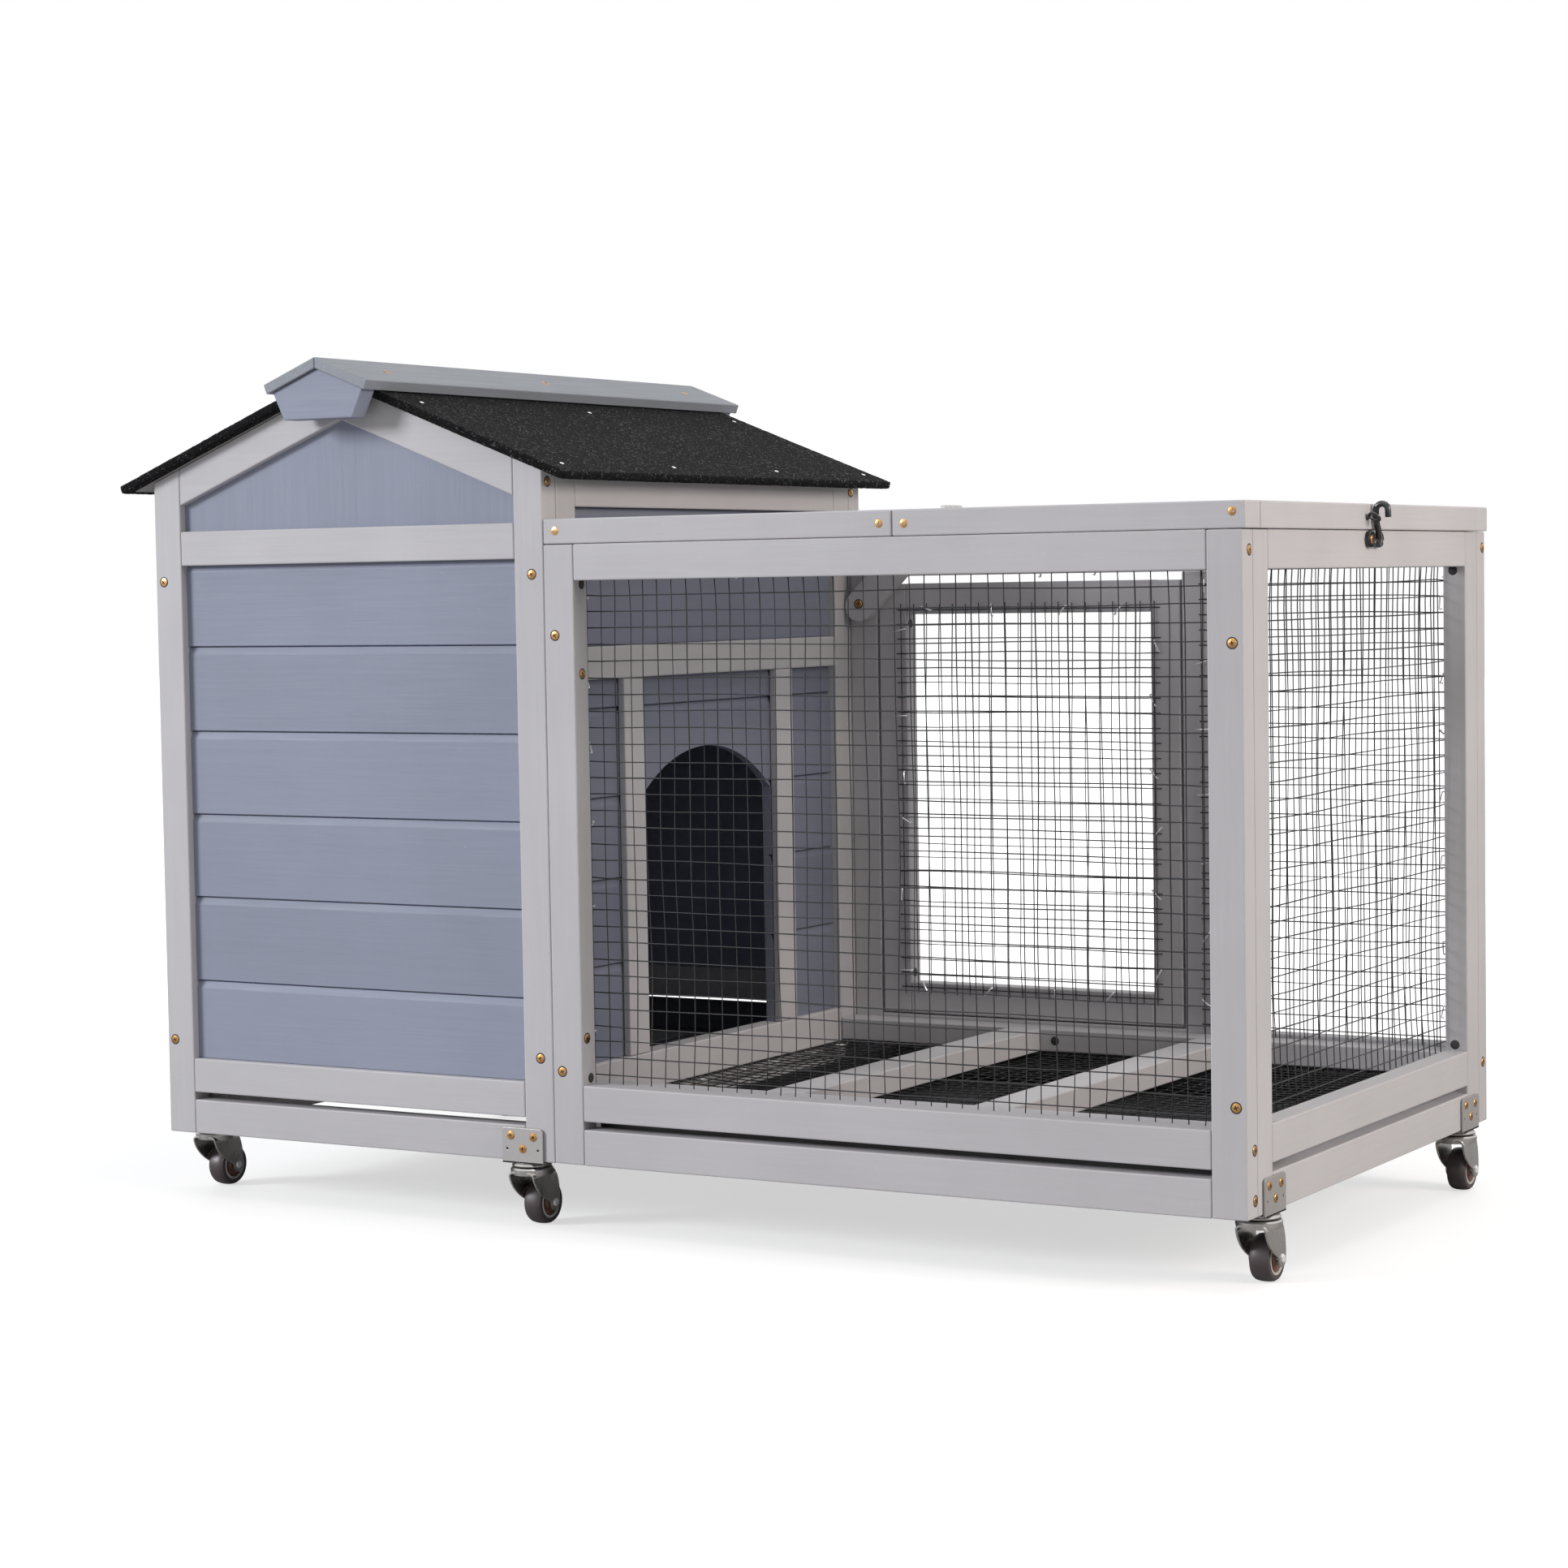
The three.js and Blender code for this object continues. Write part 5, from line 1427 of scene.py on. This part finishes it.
finish_piece("latch_hook_rod", work, [gloss_black], "latch_hook", ["latch_hook"],
             smooth=50)


def ring(radius, wire, steps=24, sides=8):
    """A closed wire ring round Z."""
    work = bmesh.new()
    made = bmesh.ops.create_circle(work, segments=sides, radius=wire,
                                   matrix=Matrix.Translation((radius, 0,
                                       0)) @ Matrix.Rotation(math.pi / 2, 4, "X"))
    bmesh.ops.spin(work, geom=work.verts[:] + work.edges[:], axis=(0, 0, 1), cent=(0, 0, 0),
                   angle=math.tau,
                   steps=steps, use_merge=True, use_duplicate=False)
    bmesh.ops.remove_doubles(work, verts=work.verts, dist=1e-6)
    return work


eye_pattern = template(ring(4.4 * mm, 1.15 * mm), "eye")
shank_pattern = template(turned([(0, 0), (1.6 * mm, 0), (2.6 * mm, 0.4 * mm), (2.2 * mm, 1.4 * mm),
                                 (1.3 * mm, 2.2 * mm), (1.3 * mm, 3.4 * mm), (0, 3.4 * mm)], 14),
                                 "shank")
work = bmesh.new()
eye_y = hook_low.y - 7.4 * mm
lid_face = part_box("lid_frame")[1].x
eye_spot = Vector((lid_face + 6.2 * mm, eye_y, latch_z + 17 * mm))
add_copy(work, eye_pattern, facing((0.25, 0.6, 0.75), eye_spot))
add_copy(work, shank_pattern, facing(RIGHT, (lid_face - 0.1 * mm, eye_y, latch_z + 17 * mm)))
finish_piece("lid_eye", work, [gloss_black], "lid", (), smooth=50)
print("latch made")

# %% [markdown]
# ## Casters
# A caster is an angle plate with a pressed race under it, a pressed fork and a wheel. The fork
# starts as a bent channel. A side outline is then kept out of it with a boolean, which leaves two
# legs that sweep back to the axle and keep the channel's rounded shoulders. Every part is made once
# round the swivel axis, and copied to the six places.

# %% Caster parts
PLATE_FACE = 13.3 * mm
RACE_TOP = 52.9 * mm
RACE_FOOT = 49.8 * mm
CROWN_TOP = 49.4 * mm
AXLE_HEIGHT = 17.85 * mm
TRAIL = 15 * mm
LEG_OUTER, LEG_INNER = 12.3 * mm, 10.7 * mm


def kept_within(work, outline_solid):
    """Keeps the part of one bmesh that lies inside another."""
    return cut_out(work, outline_solid, "INTERSECT")


def rounded_plate(half, low, high, radius, steps=5):
    """An upright plate's outline with its two upper corners rounded."""
    outline = [(-half, low), (half, low)]
    for side, start in ((1, 0), (-1, 90)):
        for step in range(steps + 1):
            angle = math.radians(start + 90 * step / steps)
            outline.append((side * (half - radius) + radius * math.cos(angle),
                            high - radius + radius * math.sin(angle)))
    return outline


def bracket_parts():
    plate = pushed(rounded_plate(19.8 * mm, 52.9 * mm, 81.8 * mm, 3.2 * mm), "Y",
                   (-PLATE_FACE, -PLATE_FACE + 1.7 * mm))
    for x in (-15, 15):
        hole = turned([(0, 4 * mm), (1.1 * mm, 4 * mm), (1.1 * mm, -4 * mm), (0, -4 * mm)], 12)
        place = Matrix.Translation((x * mm, -PLATE_FACE, 64.4 * mm)) @ Matrix.Rotation(math.pi / 2, 4,
            "X")
        bmesh.ops.transform(hole, matrix=place, verts=hole.verts)
        plate = cut_out(plate, hole)
    round_edges(plate, 0.35 * mm, 2,
                [e for e in plate.edges if len(e.link_faces) == 2 and e.calc_face_angle() > 0.5])
    foot = [(-19.8 * mm, -PLATE_FACE), (19.8 * mm, -PLATE_FACE), (19.8 * mm, -8 * mm)]
    foot += [(14 * mm * math.cos(a),
              14 * mm * math.sin(a)) for a in [math.pi * s / 12 for s in range(13)]]
    foot += [(-19.8 * mm, -8 * mm)]
    shelf = pushed(foot, "Z", (52.9 * mm, 54.5 * mm))
    round_edges(shelf, 0.3 * mm, 2)
    race = turned([(0, RACE_TOP), (14.2 * mm, RACE_TOP), (15.6 * mm, 52.2 * mm), (16.3 * mm, 51.2 * mm),
                   (16.2 * mm, 50.5 * mm), (15.0 * mm, RACE_FOOT), (0, RACE_FOOT)], 48)
    pin = turned([(0, RACE_TOP), (3 * mm, RACE_TOP), (3 * mm, 45.0 * mm), (4.6 * mm, 45.0 * mm),
                  (4.6 * mm, 43.8 * mm), (0, 43.7 * mm)], 18)
    return template(plate, "plate"), template(shelf, "shelf"), template(race, "race"), template(pin,
        "king_pin")


def curve(first, pull, last, steps=8):
    """Points along a curve between two points, drawn towards a third."""
    spots = []
    for step in range(steps + 1):
        t = step / steps
        spots.append(tuple((1 - t) ** 2 * a + 2 * t * (1 - t) * b + t * t * c for a, b,
                           c in zip(first, pull, last)))
    return spots


def channel(outer, inner, low, high):
    """A bent channel's section: an arch of sheet, open below."""
    def arch(half, top, radius):
        spots = [(-half, low)]
        for start, side in ((180, -1), (90, 1)):
            for step in range(6):
                angle = math.radians(start - 90 * step / 5)
                spots.append((side * (half - radius) + radius * math.cos(angle),
                              top - radius + radius * math.sin(angle)))
        return spots + [(half, low)]
    return arch(outer, high, 4.2 * mm) + arch(inner, high - (outer - inner), 2.6 * mm)[::-1]


def fork_parts():
    folded = pushed(channel(LEG_OUTER, LEG_INNER, 8 * mm, 46.2 * mm), "Y", (-20 * mm, 30 * mm))
    crown = 16.4 * mm
    boss = 6.4 * mm
    side = [(-crown, 47 * mm), (-crown, 43.4 * mm)]
    side += curve((-crown, 43.4 * mm), (-crown * 0.8, 29 * mm), (TRAIL - boss, AXLE_HEIGHT + 1 * mm),
                  12)
    for step in range(1, 12):
        angle = math.pi + math.pi * step / 12
        side.append((TRAIL + boss * math.cos(angle), AXLE_HEIGHT + boss * math.sin(angle)))
    side += curve((TRAIL + boss, AXLE_HEIGHT), (TRAIL + boss * 1.1, 35 * mm), (crown, 43.4 * mm))
    side += [(crown, 47 * mm)]
    legs = kept_within(folded, pushed(side, "X", (-16 * mm, 16 * mm)))
    sharp = [e for e in legs.edges if len(e.link_faces) == 2 and e.calc_face_angle() > 0.9]
    round_edges(legs, 0.3 * mm, 1, sharp)
    crown_ring = turned([(3.6 * mm, 49.2 * mm), (13.8 * mm, CROWN_TOP), (16.4 * mm, 49.0 * mm),
                         (17.5 * mm, 47.8 * mm),
                         (17.4 * mm, 45.6 * mm), (16.9 * mm, 43.2 * mm), (16.2 * mm, 43.0 * mm),
                         (16.0 * mm, 45.0 * mm),
                         (3.6 * mm, 45.2 * mm)], 48)
    nut = [(0, -13.4 * mm), (3.0 * mm, -13.4 * mm), (3.5 * mm, -12.9 * mm), (3.5 * mm, -11.5 * mm),
           (2.4 * mm, -11.5 * mm),
           (2.4 * mm, 11.5 * mm), (3.5 * mm, 11.5 * mm), (3.5 * mm, 12.9 * mm), (3.0 * mm, 13.4 * mm),
           (0, 13.4 * mm)]
    axle = turned(nut, 6)
    bmesh.ops.transform(axle, verts=axle.verts, matrix=Matrix.Translation((0, TRAIL,
        AXLE_HEIGHT)) @ Matrix.Rotation(math.pi / 2, 4, "Y"))
    return template(legs, "legs"), template(crown_ring, "crown"), template(axle, "axle")


def wheel_parts():
    def round_x(profile, steps):
        made = turned([(r * mm, x * mm) for r, x in profile], steps)
        turn = Matrix.Translation((0, TRAIL, AXLE_HEIGHT)) @ Matrix.Rotation(math.pi / 2, 4, "Y")
        bmesh.ops.transform(made, verts=made.verts, matrix=turn)
        return template(made, "round")
    half = [(12.6, 6.8), (13.2, 8.0), (14.6, 8.25), (16.2, 7.7), (17.2, 6.2), (17.7, 3.6), (17.84, 1.2)]
    tyre = half + [(r, -x) for r, x in half[::-1]]
    ring_half = [(10.9, 6.6), (11.2, 7.8), (12.3, 8.1), (12.9, 7.6), (12.9, 6.4)]
    hub_half = [(2.9, 8.1), (5.2, 8.1), (5.9, 7.4), (6.3, 5.2), (9.8, 4.8), (10.7, 6.2), (11.1, 7.2)]
    parts = [round_x(tyre, 48)]
    rings = ring_half + [(r, -x) for r, x in ring_half[::-1]]
    hub = hub_half + [(r, -x) for r, x in hub_half[::-1]]
    return parts + [round_x(rings, 48), round_x(hub, 32)]


plate_mesh, shelf_mesh, race_mesh, king_mesh = bracket_parts()
legs_mesh, crown_mesh, axle_mesh = fork_parts()
tyre_mesh, ring_mesh, hub_mesh = wheel_parts()
print("caster templates made")

# %% Place the casters
def placed(name, patterns, place, finish, body, node, smooth=35):
    work = bmesh.new()
    for pattern in patterns:
        add_copy(work, pattern, place)
    return finish_piece(name, work, [finish], body, [node], smooth=smooth)


CASTERS = {"front_left": -90, "front_middle": 0, "front_right": 90, "rear_left": -90,
           "rear_middle": 180, "rear_right": 90}
for name, facing_turn in CASTERS.items():
    crown_low, crown_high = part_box(f"caster_{name}_fork")
    swivel = Vector(((crown_low.x + crown_high.x) / 2, crown_low.y + 15.5 * mm, 0))
    here = Matrix.Translation(swivel)
    turned_here = here @ Matrix.Rotation(math.radians(facing_turn), 4, "Z")
    prefix = f"caster_{name}"
    placed(f"{prefix}_plate", [plate_mesh, shelf_mesh], turned_here, plate_zinc, "hutch",
           f"{prefix}_bracket", None)
    placed(f"{prefix}_race", [race_mesh, king_mesh], turned_here, zinc, "hutch", f"{prefix}_bracket")
    placed(f"{prefix}_legs", [legs_mesh, crown_mesh], here, zinc, f"{prefix}_fork", f"{prefix}_fork")
    placed(f"{prefix}_axle", [axle_mesh], here, zinc_with_painted_glint, f"{prefix}_fork", f"{prefix}_fork",
           25)
    placed(f"{prefix}_tyre", [tyre_mesh], here, tyre_rubber, f"{prefix}_wheel", f"{prefix}_wheel")
    placed(f"{prefix}_ring", [ring_mesh], here, ring_grey, f"{prefix}_wheel", f"{prefix}_wheel")
    placed(f"{prefix}_hub", [hub_mesh], here, hub_brown, f"{prefix}_wheel", f"{prefix}_wheel")
    spots = []
    for x, z in ((-11.4, 75.6), (10.8, 75.0), (0.3, 65.0)):
        spot = turned_here @ Vector((x * mm, -PLATE_FACE - 0.1 * mm, z * mm))
        way = turned_here.to_3x3() @ Vector(FRONT)
        spots.append((((spot.x - house_low.x) / mm, (spot.y - house_low.y) / mm, spot.z / mm),
                      tuple(way)))
    screws(prefix, spots, sunk=False)
print("casters placed:", len(CASTERS))

# %% [markdown]
# ## Trays
# Two shallow plastic trays slide out at the back. They are hollowed from a block with a boolean and
# softened all round, with low beads along the floor that stiffen it.

# %% Trays
def tray(node, finish, beads):
    low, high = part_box(node)
    wall = 2.5 * mm
    inner = cuboid(low + Vector((wall, wall, wall)), high + Vector((-wall, -wall, wall)))
    work = cut_out(cuboid(low, high), inner)
    round_edges(work, 0.9 * mm, 3)
    step = (high.x - low.x) / (beads + 1)
    for index in range(beads):
        middle = low.x + step * (index + 1)
        bead = round_ended((middle, low.y + 45 * mm), (middle, high.y - 45 * mm), 4 * mm, 8)
        rib = pushed(bead, "Z", (low.z + wall - 0.4 * mm, low.z + wall + 1.2 * mm))
        round_edges(rib, 0.7 * mm, 2)
        add_copy(work, template(rib, "bead"), Matrix.Identity(4))
    return finish_piece(f"{node}_pan", work, [finish], node, [node], smooth=40)


tray("house_tray", tray_grey, 4)
tray("run_tray", tray_black, 6)
screws("door_button", [((414.3, 527.3, 319.5), BACK)], "door_button", sunk=False)
screws("brace", [((415.6, 488.0, 498.5), FRONT), ((450.8, 488.0, 532.0), FRONT)])
